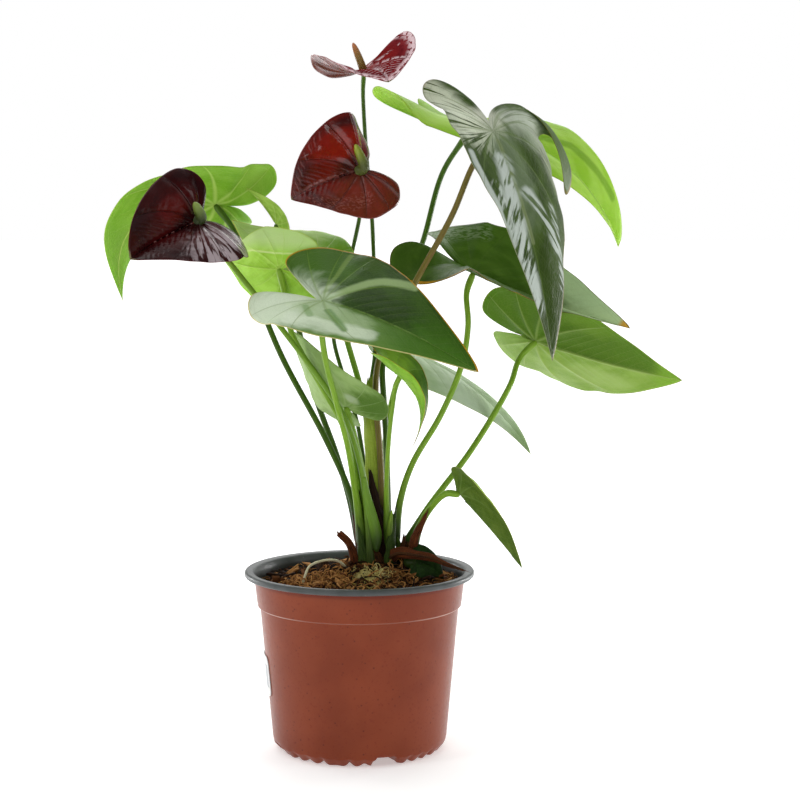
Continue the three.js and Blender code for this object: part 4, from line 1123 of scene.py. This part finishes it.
def spathe_finish(name, main, heart, dark, hem, patches=(), rough=0.22, ladder=(0.0, 0.0), coat=0.6,
                  band_reflection_paint=None):
    """A waxed, puckered spathe: deep red, brighter where the light comes through, with curved veins and a
    hem. ladder: how strongly the cells along the left and the right margin stand out, in relief and with a
    painted highlight on them; shown: the paint of a painted reflection in broad bands along its veins and
    margin."""
    g, shader = new_finish(name, rough, Coat_Weight=coat, Coat_Roughness=0.09,
                           Specular_IOR_Level=0.4 * coat)
    place = place_of(g)
    marks = g.use(VEINS, Place=place, Width=1.3).outputs
    spots = g.use(MOTTLE, Place=place, Size=3.0, Specks=40.0).outputs
    parts = g.parts(place)
    red = g.mix(spots["Blotch"], main, dark)
    warm = g.times(g.step(parts[2], 0.12, 0.4), g.rest(g.step(parts[2], 0.45, 0.85)))
    red = g.mix(g.times(warm, 0.75), red, heart)
    # painted reflection: pale bands along the veins and the margin, broken up by noise
    if band_reflection_paint:
        wide = g.use(VEINS, Place=place, Width=4.0).outputs
        bands = g.math("MAXIMUM", wide["Main"], g.times(wide["Side"], 0.7))
        bands = g.math("MAXIMUM", bands, g.step(parts[2], 0.78, 0.95))
        bands = g.times(bands, g.step(g.noise(place, 12.0, 5.0), 0.4, 0.5))
        red = g.mix(g.times(bands, 0.9), red, band_reflection_paint)
    red = patched(g, place, red, patches)
    red = g.mix(g.times(marks["Main"], 0.0 if band_reflection_paint else 0.35), red, dark)
    red = g.mix(g.times(marks["Hem"], 0.8), red, hem)
    red = g.mix(g.step(parts[1], 0.965, 0.985), red, colour(110, 100, 60))
    cells = g.add("TexVoronoi", {"Vector": place, "Scale": 9.0, "Smoothness": 0.8},
                  feature="SMOOTH_F1").outputs[0]
    height = g.times_plus(cells, -0.9, g.times(marks["Main"], -1.0))
    height = g.times_plus(g.noise(place, 22.0, 3.0), 0.4, height)
    bars = g.math("SINE", g.times_plus(g.noise(place, 9.0, 2.0), 6.0, g.times(parts[1], 88.0)))
    band = g.times(g.step(parts[2], 0.8, 0.86), g.rest(g.step(parts[2], 0.94, 0.97)))
    band = g.times(band, g.step(parts[1], 0.1, 0.4))
    on_left = g.math("LESS_THAN", parts[0], 0.0)
    share = g.times_plus(on_left, ladder[0] - ladder[1], float(ladder[1]))
    height = g.times_plus(g.times(bars, band), share, height)
    # painted highlight: pale pink on the raised cells along the margin
    lit = g.times(g.times(g.step(bars, 0.4, 1.0), band), share)
    g.put(g.mix(g.times(lit, 0.5, clamp=True), red, colour(206, 150, 150)), shader.inputs["Base Color"])
    bump(g, shader, height, 0.7, 0.0009)


def stalk_finish(name, main, pale, base, red=0.0, sheath=48.0):
    """A smooth stalk with faint lengthwise lines, paler at its joint, and painted dark with shade over as
    many millimetres from its foot as sheath gives."""
    g, shader = new_finish(name, 0.4, Specular_IOR_Level=0.2)
    place = place_of(g)
    parts = g.parts(place)
    around = g.times(parts[0], CIRCLE)
    ring = g.add("CombineXYZ", {0: g.math("COSINE", around), 1: g.math("SINE", around),
                                2: g.times(parts[2], 0.012)}).outputs[0]
    lines = g.noise(ring, 9.0, 3.0)
    spots = g.use(MOTTLE, Place=ring, Size=3.0, Specks=30.0).outputs
    green = g.mix(g.step(lines, 0.35, 0.65), main, pale)
    green = g.mix(g.times(spots["Speck"], 0.4), green, pale)
    top = g.step(parts[1], 0.93, 0.99)
    green = g.mix(g.times(top, 0.5), green, pale)
    # painted shade: the stalk darkens towards its foot, where it stands among the others
    foot = g.rest(g.step(parts[2], 4.0, sheath))
    green = g.mix(g.times(foot, 0.9), green, base)
    if red:
        green = g.mix(g.times(spots["Blotch"], red), green, colour(112, 72, 44))
    g.put(green, shader.inputs["Base Color"])
    bump(g, shader, lines, 0.35, 0.0003)


def fibrous_finish(name, light, dark, rough):
    """Dry or living sheath, streaked along its length and torn between the fibres."""
    g, shader = new_finish(name, rough, Specular_IOR_Level=0.15)
    place = place_of(g)
    streaks = g.noise(place, 14.0, 5.0, stretch=(3.0, 0.35, 0.0))
    blotch = g.use(MOTTLE, Place=place, Size=4.0, Specks=20.0).outputs
    brown = g.mix(g.step(streaks, 0.38, 0.62), dark, light)
    brown = g.mix(g.times(blotch["Blotch"], 0.45), brown, dark)
    g.put(brown, shader.inputs["Base Color"])
    g.put(g.times_plus(streaks, 0.25, rough - 0.12), shader.inputs["Roughness"])
    bump(g, shader, g.math("ADD", streaks, g.times(blotch["Fine"], 0.5)), 0.7, 0.0006)


def spadix_finish(name, low, high, tip):
    """Green florets, paler on their faces, with another colour towards the tip."""
    g, shader = new_finish(name, 0.45, Coat_Weight=0.1)
    parts = g.parts(place_of(g))
    green = g.mix(g.step(parts[0], 0.1, 0.8), low, high)
    green = g.mix(g.step(parts[1], 0.3, 1.0), green, tip)
    pistil = g.step(parts[0], 0.93, 0.99)
    green = g.mix(g.times(pistil, 0.35), green, colour(214, 208, 140))
    g.put(green, shader.inputs["Base Color"])


def coir_finish():
    """Coir: each chip or fibre has its own tint, from dark brown through orange brown and tan to pale
    straw."""
    g, shader = new_finish("coir", 0.9, Specular_IOR_Level=0.1)
    parts = g.parts(place_of(g))
    ramp = g.add("ValToRGB")
    stops = [(0.0, colour(16, 9, 5)), (0.2, colour(46, 26, 13)), (0.4, colour(104, 62, 30)),
             (0.6, colour(196, 142, 84)), (0.72, colour(120, 80, 44)), (0.86, colour(214, 192, 112)),
             (1.0, colour(236, 224, 160))]
    while len(ramp.color_ramp.elements) < len(stops):
        ramp.color_ramp.elements.new(0.5)
    for element, (where, paint) in zip(ramp.color_ramp.elements, stops):
        element.position = where
        element.color = paint
    g.put(g.times(parts[0], 0.71), ramp.inputs[0])
    where = g.add("TexCoord").outputs["Object"]
    grain = g.noise(where, 900.0, 4.0)
    brown = g.mix(g.times(g.step(grain, 0.5, 0.75), 0.5), ramp.outputs[0], colour(44, 24, 11))
    g.put(brown, shader.inputs["Base Color"])
    bump(g, shader, grain, 0.6, 0.0005)


def pot_finishes():
    """Terracotta plastic with a scuffed sheen, dark specks, painted shade under the lip and a painted
    highlight along the collar's step, and the charcoal of the lip and the inside, painted darker with shade
    low inside the pot.
    """
    g, shader = new_finish("pot_terracotta", 0.3, Specular_IOR_Level=0.08, Coat_Weight=0.3,
                           Coat_Roughness=0.14)
    where = g.add("TexCoord").outputs["Object"]
    spots = g.use(MOTTLE, Place=where, Size=30.0, Specks=240.0).outputs
    cloud = g.noise(where, 14.0, 4.0)
    clay = g.mix(g.step(cloud, 0.3, 0.7), colour(122, 48, 18), colour(134, 56, 26))
    clay = g.mix(g.times(spots["Blotch"], 0.1), clay, colour(160, 82, 46))
    freckle = g.step(g.noise(where, 520.0, 2.0), 0.6, 0.7)
    clay = g.mix(g.times(freckle, 0.4), clay, colour(112, 30, 10))
    clay = g.mix(g.times(spots["Speck"], 0.75), clay, colour(84, 24, 10))
    high = g.parts(where)[2]
    # painted shade: the band under the lip's overhang is painted a darker red
    under_lip_shade = g.step(high, POT["height"] * MM - 0.0095, POT["height"] * MM - 0.006)
    clay = g.mix(g.times(under_lip_shade, 0.7), clay, colour(96, 24, 8))
    # painted highlight: a pale line along the collar's step, stronger towards the pot's sides
    step_line = g.math("ABSOLUTE", g.math("SUBTRACT", high, (POT["collar_at"] + 0.4) * MM))
    edge = g.rest(g.step(step_line, 0.0002, 0.0009))
    aside = g.math("ABSOLUTE", g.parts(where)[0])
    edge = g.times(edge, g.times_plus(g.step(aside, 0.03, 0.07), 0.6, 0.12))
    clay = g.mix(edge, clay, colour(232, 200, 186))
    g.put(clay, shader.inputs["Base Color"])
    g.put(g.times_plus(spots["Fine"], 0.22, 0.28), shader.inputs["Roughness"])
    height = g.times_plus(spots["Speck"], -0.6, g.noise(where, 260.0, 3.0))
    bump(g, shader, height, 0.25, 0.0003)
    g, shader = new_finish("pot_charcoal", 0.38, Specular_IOR_Level=0.3)
    where = g.add("TexCoord").outputs["Object"]
    spots = g.use(MOTTLE, Place=where, Size=40.0, Specks=300.0).outputs
    grey = g.mix(spots["Blotch"], colour(66, 70, 70), colour(80, 84, 84))
    # painted shade: the charcoal is painted darker low inside the pot, below the lip
    low = g.rest(g.step(g.parts(where)[2], 0.124, 0.13))
    grey = g.mix(g.times(low, 0.7), grey, colour(36, 38, 38))
    grey = g.mix(g.times(spots["Speck"], 0.4), grey, colour(120, 120, 116))
    g.put(grey, shader.inputs["Base Color"])
    g.put(g.times_plus(spots["Fine"], 0.25, 0.26), shader.inputs["Roughness"])
    bump(g, shader, g.noise(where, 300.0, 3.0), 0.2, 0.0003)


def label_finish():
    """White paper with a plain pale grey block."""
    g, shader = new_finish("label_paper", 0.5, Coat_Weight=0.3)
    parts = g.parts(place_of(g))
    off_x, off_z = g.math("ABSOLUTE", parts[0]), g.math("ABSOLUTE", parts[1])
    block = g.times(g.math("LESS_THAN", off_x, 19.6), g.math("LESS_THAN", off_z, 8.5))
    grain = g.noise(place_of(g), 1.5, 3.0)
    white = g.mix(g.step(grain, 0.3, 0.7), colour(216, 216, 214), colour(228, 228, 226))
    g.put(g.mix(block, white, colour(164, 168, 174)), shader.inputs["Base Color"])
    bump(g, shader, grain, 0.15, 0.0002)


def make_leaf_finishes():
    """Each leaf's own greens, some painted brighter for light that comes through them, with painted
    reflections, painted shade, bright parts and dry marks as patches.
    """
    gold, scorch, tan = (206, 150, 30), (60, 34, 20), (120, 104, 44)
    painted_silver_sheen, painted_pale_reflection, painted_shade_green = (196, 206, 198), (222, 236, 210), (34, 56, 14)
    # painted light: the right half's paler green, with the misty white spot, the broad pale grey-green streak
    # and the misty white streak on it, is a painted reflection; the pale streak from the joint out along the
    # left half is a painted highlight on its crest, and the darkest spot, on the steep face beneath that crest,
    # is painted shade
    leaf_finish("front_face", (54, 84, 22), (42, 70, 16), (112, 142, 62), [gold, (206, 196, 130)],
                hem_from=0.98, rough=0.36, other=(92, 130, 52), patches=[
        spot((-0.24, -0.15), (0.22, 0.3), (66, 104, 24), 0.8),
        spot((-0.08, 0.4), (0.1, 0.34), painted_shade_green, 0.75),
        spot((-0.06, 0.8), (0.12, 0.3), (58, 98, 20), 0.6),
        streak([(-0.04, 0.08), (-0.12, 0.16), (-0.18, 0.23), (-0.22, 0.3), (-0.245, 0.39), (-0.26, 0.48)],
               0.032, (164, 190, 130), 0.72, ragged=0.3),
        streak([(-0.03, 0.03), (-0.09, 0.01), (-0.18, 0.01), (-0.33, -0.02)], 0.022, (126, 154, 76), 0.55,
               ragged=0.3),
        spot((0.14, -0.1), (0.3, 0.36), painted_pale_reflection, 0.92),
        streak([(0.08, 0.06), (0.13, 0.26), (0.14, 0.36)], 0.13, (166, 192, 142), 0.75, ragged=0.9),
        streak([(0.26, 0.0), (0.22, 0.28), (0.17, 0.46)], 0.06, painted_pale_reflection, 0.7, ragged=0.9),
        streak([(0.11, 0.03), (0.19, 0.13)], 0.022, (128, 164, 104), 0.7),
        streak([(0.09, 0.16), (0.13, 0.22), (0.2, 0.34)], 0.026, (104, 144, 76), 0.85),
        spot((0.08, 0.78), (0.16, 0.34), (70, 112, 32), 0.85),
        spot((0, 1.0), (0.1, 0.03), scorch),
    ])
    leaf_finish("under_dark", (70, 92, 40), (54, 76, 26), (98, 124, 62), tan, rough=0.5, raised=1.0)
    # painted reflection: the whitish, pale grey-green and silver spots and streaks are a painted sheen, all but
    # the thin streak down the midrib, which is its pale vein
    leaf_finish("tall_face", (66, 88, 34), (48, 68, 20), (98, 120, 62), [tan, (150, 156, 120)], rough=0.38,
                blister=1.6, net=0.6, shine=0.06, patches=[
        spot((-0.24, -0.04), (0.24, 0.14), (158, 170, 146), 0.85),
        streak([(-0.1, -0.05), (-0.22, -0.1), (-0.32, -0.04)], 0.06, (186, 194, 178), 0.7, rays=0.42),
        spot((-0.32, 0.12), (0.1, 0.22), (160, 168, 146), 0.7, bars=0.4),
        spot((0.14, 0.06), (0.18, 0.14), (204, 212, 188), 0.85, rays=0.42),
        spot((0.01, 0.0), (0.1, 0.09), (224, 226, 208), 0.85, rays=0.38),
        spot((-0.02, 0.22), (0.1, 0.34), (150, 168, 136), 0.4),
        spot((-0.05, 0.82), (0.15, 0.3), (46, 66, 14), 0.7),
        streak([(0.17, -0.3), (0.14, -0.1), (0.12, 0.02)], 0.09, (214, 222, 196), 0.85, rays=0.36),
        streak([(0.0, 0.1), (0.0, 0.3), (0.0, 0.55)], 0.014, (150, 160, 120), 0.6),
        streak([(0.02, 0.2), (0.06, 0.4), (0.07, 0.62), (0.06, 0.8)], 0.06, painted_silver_sheen, 0.95, bars=0.4),
        streak([(0.13, 0.34), (0.12, 0.5), (0.1, 0.66)], 0.035, painted_silver_sheen, 0.85, bars=0.46),
        streak([(0.2, 0.2), (0.18, 0.36), (0.16, 0.5)], 0.022, painted_silver_sheen, 0.9, ragged=0.4),
        streak([(-0.05, 0.34), (-0.12, 0.47), (-0.14, 0.56)], 0.04, painted_silver_sheen, 0.9, bars=0.43),
        streak([(-0.18, 0.38), (-0.17, 0.58), (-0.13, 0.72)], 0.03, painted_silver_sheen, 0.8, bars=0.48),
    ])
    leaf_finish("right_face", (142, 172, 78), (126, 158, 60), (180, 200, 120), (150, 160, 70), rough=0.42,
                raised=0.7, glow=0.15, veins=0.7, other=(82, 116, 28), patches=[
        spot((0.3, 0.45), (0.16, 0.3), (112, 146, 46), 0.6),
        spot((-0.15, 0.45), (0.1, 0.3), (168, 192, 112), 0.6),
        spot((0, 0.95), (0.3, 0.16), (126, 166, 50), 0.8),
        spot((0.34, 0.35), (0.2, 0.07), scorch, edge=0.965),
        spot((-0.3, 0.5), (0.2, 0.02), scorch, edge=0.965),
        spot((0, 1.0), (0.1, 0.02), scorch),
    ])
    leaf_finish("dark_right_face", (74, 104, 34), (58, 88, 22), (76, 102, 38), (92, 90, 36), rough=0.36,
                veins=0.7, shine=0.05, patches=[
        # painted reflection: the greyish flecked streak on the left lobe and the two broad pale streaks towards
        # the tip
        streak([(-0.1, -0.25), (-0.26, -0.16), (-0.32, 0.0)], 0.08, (120, 138, 104), 0.7, flecks=0.45),
        streak([(-0.25, 0.5), (-0.14, 0.7), (-0.03, 0.9)], 0.16, (176, 204, 150), 0.92),
        streak([(0.06, 0.62), (0.03, 0.8), (0.0, 0.95)], 0.12, (180, 206, 150), 0.9),
        spot((0.2, 0.2), (0.2, 0.3), (66, 98, 30), 0.5),
        spot((0.35, -0.22), (0.3, 0.16), gold, edge=0.955),
        spot((0.4, 0.05), (0.3, 0.14), gold, edge=0.93),
        spot((0.4, 0.04), (0.3, 0.11), scorch, edge=0.95),
        spot((0.4, 0.42), (0.3, 0.12), gold, edge=0.95),
        spot((0.4, 0.44), (0.3, 0.08), scorch, edge=0.965),
        spot((0, 0.97), (0.14, 0.05), gold, 0.9),
    ])
    # painted light: this leaf's yellow-green is painted brighter for the light that comes through it from
    # behind
    leaf_finish("back_top_face", (166, 204, 84), (146, 190, 56), (160, 190, 84), (140, 166, 50), rough=0.5,
                glow=0.15, shine=0.04, patches=[
        streak([(-0.02, 0.1), (-0.14, 0.5), (-0.1, 0.8)], 0.03, (86, 134, 18), 0.6),
        streak([(0.02, 0.1), (0.12, 0.4), (0.1, 0.8)], 0.03, (86, 134, 18), 0.5),
        spot((-0.3, 0.2), (0.16, 0.3), (156, 190, 84), 0.6),
        spot((0.0, -0.2), (0.5, 0.24), (112, 152, 42), 0.7),
    ])
    # painted light: this leaf's green is painted brighter for the light that comes through it from behind
    leaf_finish("left_face", (130, 176, 52), (110, 160, 30), (176, 206, 100), (160, 184, 80), rough=0.4,
                glow=0.2, veins=1.6, patches=[
        spot((0, 0.75), (0.3, 0.3), (122, 164, 60), 0.7),
        spot((0.2, -0.2), (0.3, 0.2), (146, 184, 66), 0.6),
    ])
    leaf_finish("pale_back_face", (172, 200, 122), (156, 186, 100), (196, 214, 150), (180, 150, 40),
                rough=0.42, glow=0.15, patches=[
        spot((0.0, -0.25), (0.9, 0.44), (104, 158, 14), 0.95),
        spot((0.22, 0.28), (0.14, 0.2), (120, 168, 36), 0.6),
    ])
    leaf_finish("pale_under_face", (164, 206, 78), (146, 192, 56), (178, 208, 100), (170, 190, 70),
                rough=0.45, raised=1.0, glow=0.2, patches=[
        streak([(-0.17, -0.2), (-0.2, 0.4), (-0.1, 0.9)], 0.014, (196, 216, 134), ragged=0.1),
        streak([(-0.42, -0.4), (-0.5, 0.3), (-0.36, 0.9)], 0.3, (180, 204, 134), ragged=0.1),
    ])
    leaf_finish("low_left_face", (158, 186, 116), (138, 170, 92), (164, 190, 124), (140, 156, 84),
                rough=0.4, patches=[
        spot((0.26, -0.1), (0.24, 0.34), (84, 120, 42), 0.95),
        spot((0.14, 0.1), (0.06, 0.1), (190, 206, 168), 0.8),
    ])
    leaf_finish("pale_right_face", (186, 206, 172), (168, 192, 150), (180, 200, 158), (160, 172, 100),
                rough=0.4, patches=[
        spot((0.1, 0.5), (0.2, 0.4), (216, 230, 210), 0.7),
        spot((0.0, 1.0), (0.3, 0.24), (110, 144, 70), 0.6),
    ])
    leaf_finish("small_face", (78, 116, 34), (58, 94, 22), (120, 154, 70), gold, rough=0.36, patches=[
        spot((0.0, -0.1), (0.6, 0.34), (138, 182, 56), 0.85),
    ])
    leaf_finish("low_right_face", (94, 118, 44), (76, 102, 32), (118, 146, 74), (136, 150, 70), rough=0.36)
    # painted shade: this leaf's greens are painted dark, with faint veins, for the shade that it lies in behind
    # the dry strip
    leaf_finish("shaded_rim_face", (36, 64, 18), (26, 48, 12), (54, 84, 30), rough=0.4, veins=0.4)
    leaf_finish("under_green", (84, 120, 44), (70, 106, 32), (124, 154, 80), tan, rough=0.5, raised=1.0,
                glow=0.1)
    leaf_finish("under_bright", (140, 186, 58), (114, 162, 38), (160, 192, 92), (170, 176, 70), rough=0.45,
                raised=1.0, glow=0.2)
    leaf_finish("under_pale", (160, 190, 84), (138, 172, 62), (190, 208, 126), (180, 174, 80), rough=0.45,
                raised=1.0, glow=0.15)


def make_finishes():
    make_leaf_finishes()
    wine, hem = (64, 14, 14), (140, 24, 30)
    # painted reflection: pale pink bands along this spathe's veins and margin
    spathe_finish("spathe_top", (120, 40, 44), (120, 26, 24), (84, 20, 28), (150, 60, 66), rough=0.5,
                  coat=0.0, band_reflection_paint=(226, 200, 204), patches=[
        spot((0.0, 0.12), (0.16, 0.2), (140, 34, 26), 0.8),
    ])
    spathe_finish("spathe_middle", (100, 26, 20), (124, 22, 12), wine, hem, ladder=(0.0, 0.3), patches=[
        spot((0.3, 0.2), (0.18, 0.4), (150, 28, 14), 0.7),
        spot((0.0, 0.05), (0.16, 0.2), wine, 0.8),
        # painted highlights: the pinkish streak along the midrib and the paler flecked one over the left half
        streak([(0.0, 0.2), (0.02, 0.5), (0.0, 0.8)], 0.03, (150, 84, 80), 0.5, bars=0.4),
        spot((-0.3, 0.1), (0.4, 0.6), (132, 56, 38), 0.55),
        streak([(-0.3, 0.1), (-0.3, 0.4), (-0.14, 0.75)], 0.1, (170, 104, 96), 0.4, flecks=0.5),
    ])
    spathe_finish("spathe_left", (50, 10, 10), (70, 10, 10), (36, 8, 10), (104, 16, 20), coat=0.2, patches=[
        spot((0.2, 0.3), (0.16, 0.2), (96, 14, 12), 0.5),
        # painted reflection: the pale pinkish grey over the left half, broken up along the main veins
        spot((-0.52, 0.12), (0.42, 0.6), (186, 172, 176), 0.75, rays=0.44),
    ])
    spathe_finish("spathe_back", (118, 52, 44), (110, 44, 36), (86, 34, 30), (110, 40, 36), rough=0.35)
    stalk_finish("stalk_green", (46, 72, 8), (72, 106, 20), (30, 46, 10))
    stalk_finish("stalk_light", (104, 144, 24), (136, 172, 58), (40, 66, 16), sheath=44.0)
    stalk_finish("stalk_sheath", (96, 136, 34), (116, 154, 52), (40, 62, 18), sheath=26.0)
    stalk_finish("bud_green", (110, 150, 34), (160, 192, 70), (44, 66, 20), sheath=44.0)
    stalk_finish("stalk_front", (96, 134, 28), (120, 156, 50), (30, 36, 14), sheath=64.0)
    stalk_finish("stalk_olive", (92, 86, 28), (118, 112, 44), (50, 66, 22), red=0.5)
    fibrous_finish("dry_brown", (108, 68, 36), (38, 22, 12), 0.75)
    fibrous_finish("sheath_dark", (72, 98, 34), (40, 60, 20), 0.45)
    fibrous_finish("dry_dark", (58, 34, 22), (22, 12, 8), 0.7)
    fibrous_finish("dry_red", (130, 68, 32), (54, 24, 10), 0.7)
    fibrous_finish("sheath_olive", (172, 188, 76), (136, 158, 48), 0.5)
    fibrous_finish("sheath_rusty", (150, 146, 54), (142, 88, 38), 0.5)
    fibrous_finish("root_pale", (244, 240, 214), (214, 206, 164), 0.5)
    spadix_finish("spadix_olive", (92, 74, 18), (136, 110, 30), (170, 92, 26))
    spadix_finish("spadix_green", (34, 40, 4), (70, 80, 10), (150, 164, 44))
    spadix_finish("spadix_dark", (20, 30, 8), (46, 64, 16), (124, 148, 60))
    coir_finish()
    pot_finishes()
    label_finish()


# ---------------------------------------------------------------- camera, light and floor
def make_camera():
    data = bpy.data.cameras.new("camera")
    data.sensor_width = CAMERA["film"]
    data.lens = CAMERA["lens"]
    camera = bpy.data.objects.new("camera", data)
    camera.location = CAMERA["place"]
    camera.rotation_euler = (math.radians(90 - CAMERA["down"]), 0, 0)
    bpy.context.scene.collection.objects.link(camera)
    bpy.context.scene.camera = camera


def make_world():
    """A white studio that is bright behind the plant and at its sides, and dim in front of it."""
    world = bpy.data.worlds.new("studio")
    world.use_nodes = True
    bpy.context.scene.world = world
    g = Graph(world.node_tree)
    background = world.node_tree.nodes["Background"]
    where = g.parts(g.add("TexCoord").outputs["Generated"])
    behind = g.step(where[1], -0.35, 0.75)
    above = g.step(where[2], 0.25, 0.95)
    light = g.times_plus(behind, 0.7, 0.06)
    light = g.times_plus(above, 0.15, light)
    seen = g.add("LightPath").outputs["Is Camera Ray"]
    lit = g.add("CombineXYZ", {0: light, 1: light, 2: light}).outputs[0]
    g.put(g.mix(seen, lit, (1, 1, 1, 1)), background.inputs["Color"])


def make_lights():
    """Soft boxes: name, place, what it faces, its width and height in metres, and its power."""
    lights = [
        ("top", (-0.3, -0.1, 1.7), (0, 0, 0.3), 0.9, 0.9, 6),
        ("back", (0.1, 1.5, 1.3), (0, 0, 0.35), 1.6, 1.0, 13),
        ("left", (-1.5, -0.9, 0.9), (0, 0, 0.25), 0.5, 1.1, 7),
        ("right", (1.5, -0.5, 0.6), (0, 0, 0.2), 0.4, 1.0, 5),
        ("front", (-0.5, -1.9, 1.5), (0, 0, 0.3), 0.6, 0.6, 6),
        ("edge_left", (-1.3, 1.1, 0.25), (0, 0, 0.06), 0.3, 0.5, 7),
        ("edge_right", (1.3, 0.95, 0.2), (0, 0, 0.05), 0.35, 0.4, 9),
    ]
    for name, spot, target, wide, high, power in lights:
        data = bpy.data.lights.new(name, "AREA")
        data.shape = "RECTANGLE"
        data.size = wide
        data.size_y = high
        data.energy = power
        light = bpy.data.objects.new(name, data)
        light.location = spot
        away = np.array(spot) - np.array(target)
        light.rotation_euler = (math.atan2(math.hypot(away[0], away[1]), away[2]), 0,
                                math.atan2(away[1], away[0]) + math.pi / 2)
        bpy.context.scene.collection.objects.link(light)


def make_floor():
    """White paper that glows a little, as the bright sheet under the photograph's pot does."""
    g, shader = new_finish("floor_white", 0.9, Emission_Strength=1.0, Specular_IOR_Level=0.0)
    where = g.add("TexCoord").outputs["Object"]
    far = g.step(g.add("VectorMath", {0: where}, operation="LENGTH").outputs["Value"], 0.15, 2.2)
    g.put(g.mix(far, (0.42, 0.42, 0.42, 1), (0.95, 0.95, 0.95, 1)), shader.inputs["Emission Color"])
    paper = g.noise(where, 6.0, 2.0)
    g.put(g.mix(paper, (0.9, 0.9, 0.9, 1), (0.92, 0.92, 0.92, 1)), shader.inputs["Base Color"])
    half = 12.0
    mesh = bpy.data.meshes.new("floor")
    mesh.from_pydata([(-half, -half, 0), (half, -half, 0), (half, half, 0), (-half, half, 0)], [],
                     [(0, 1, 2, 3)])
    mesh.materials.append(FINISHES["floor_white"])
    floor = bpy.data.objects.new("floor", mesh)
    floor.location = (0, 0, -0.0002)
    bpy.context.scene.collection.objects.link(floor)


# ---------------------------------------------------------------- the object
FINISHES = {}
SLOTS = {row["node"]: row["material_slot"] for row in frame["record"]["subparts"]}
VEINS = vein_group()
MOTTLE = mottle_group()

bpy.context.scene.view_settings.view_transform = "Standard"
make_finishes()
make_camera()
make_world()
make_lights()
make_floor()
make_pot()
make_label()
make_soil()
make_crown()
make_side_crown()
make_sheaths()
make_leaves()
make_blooms()
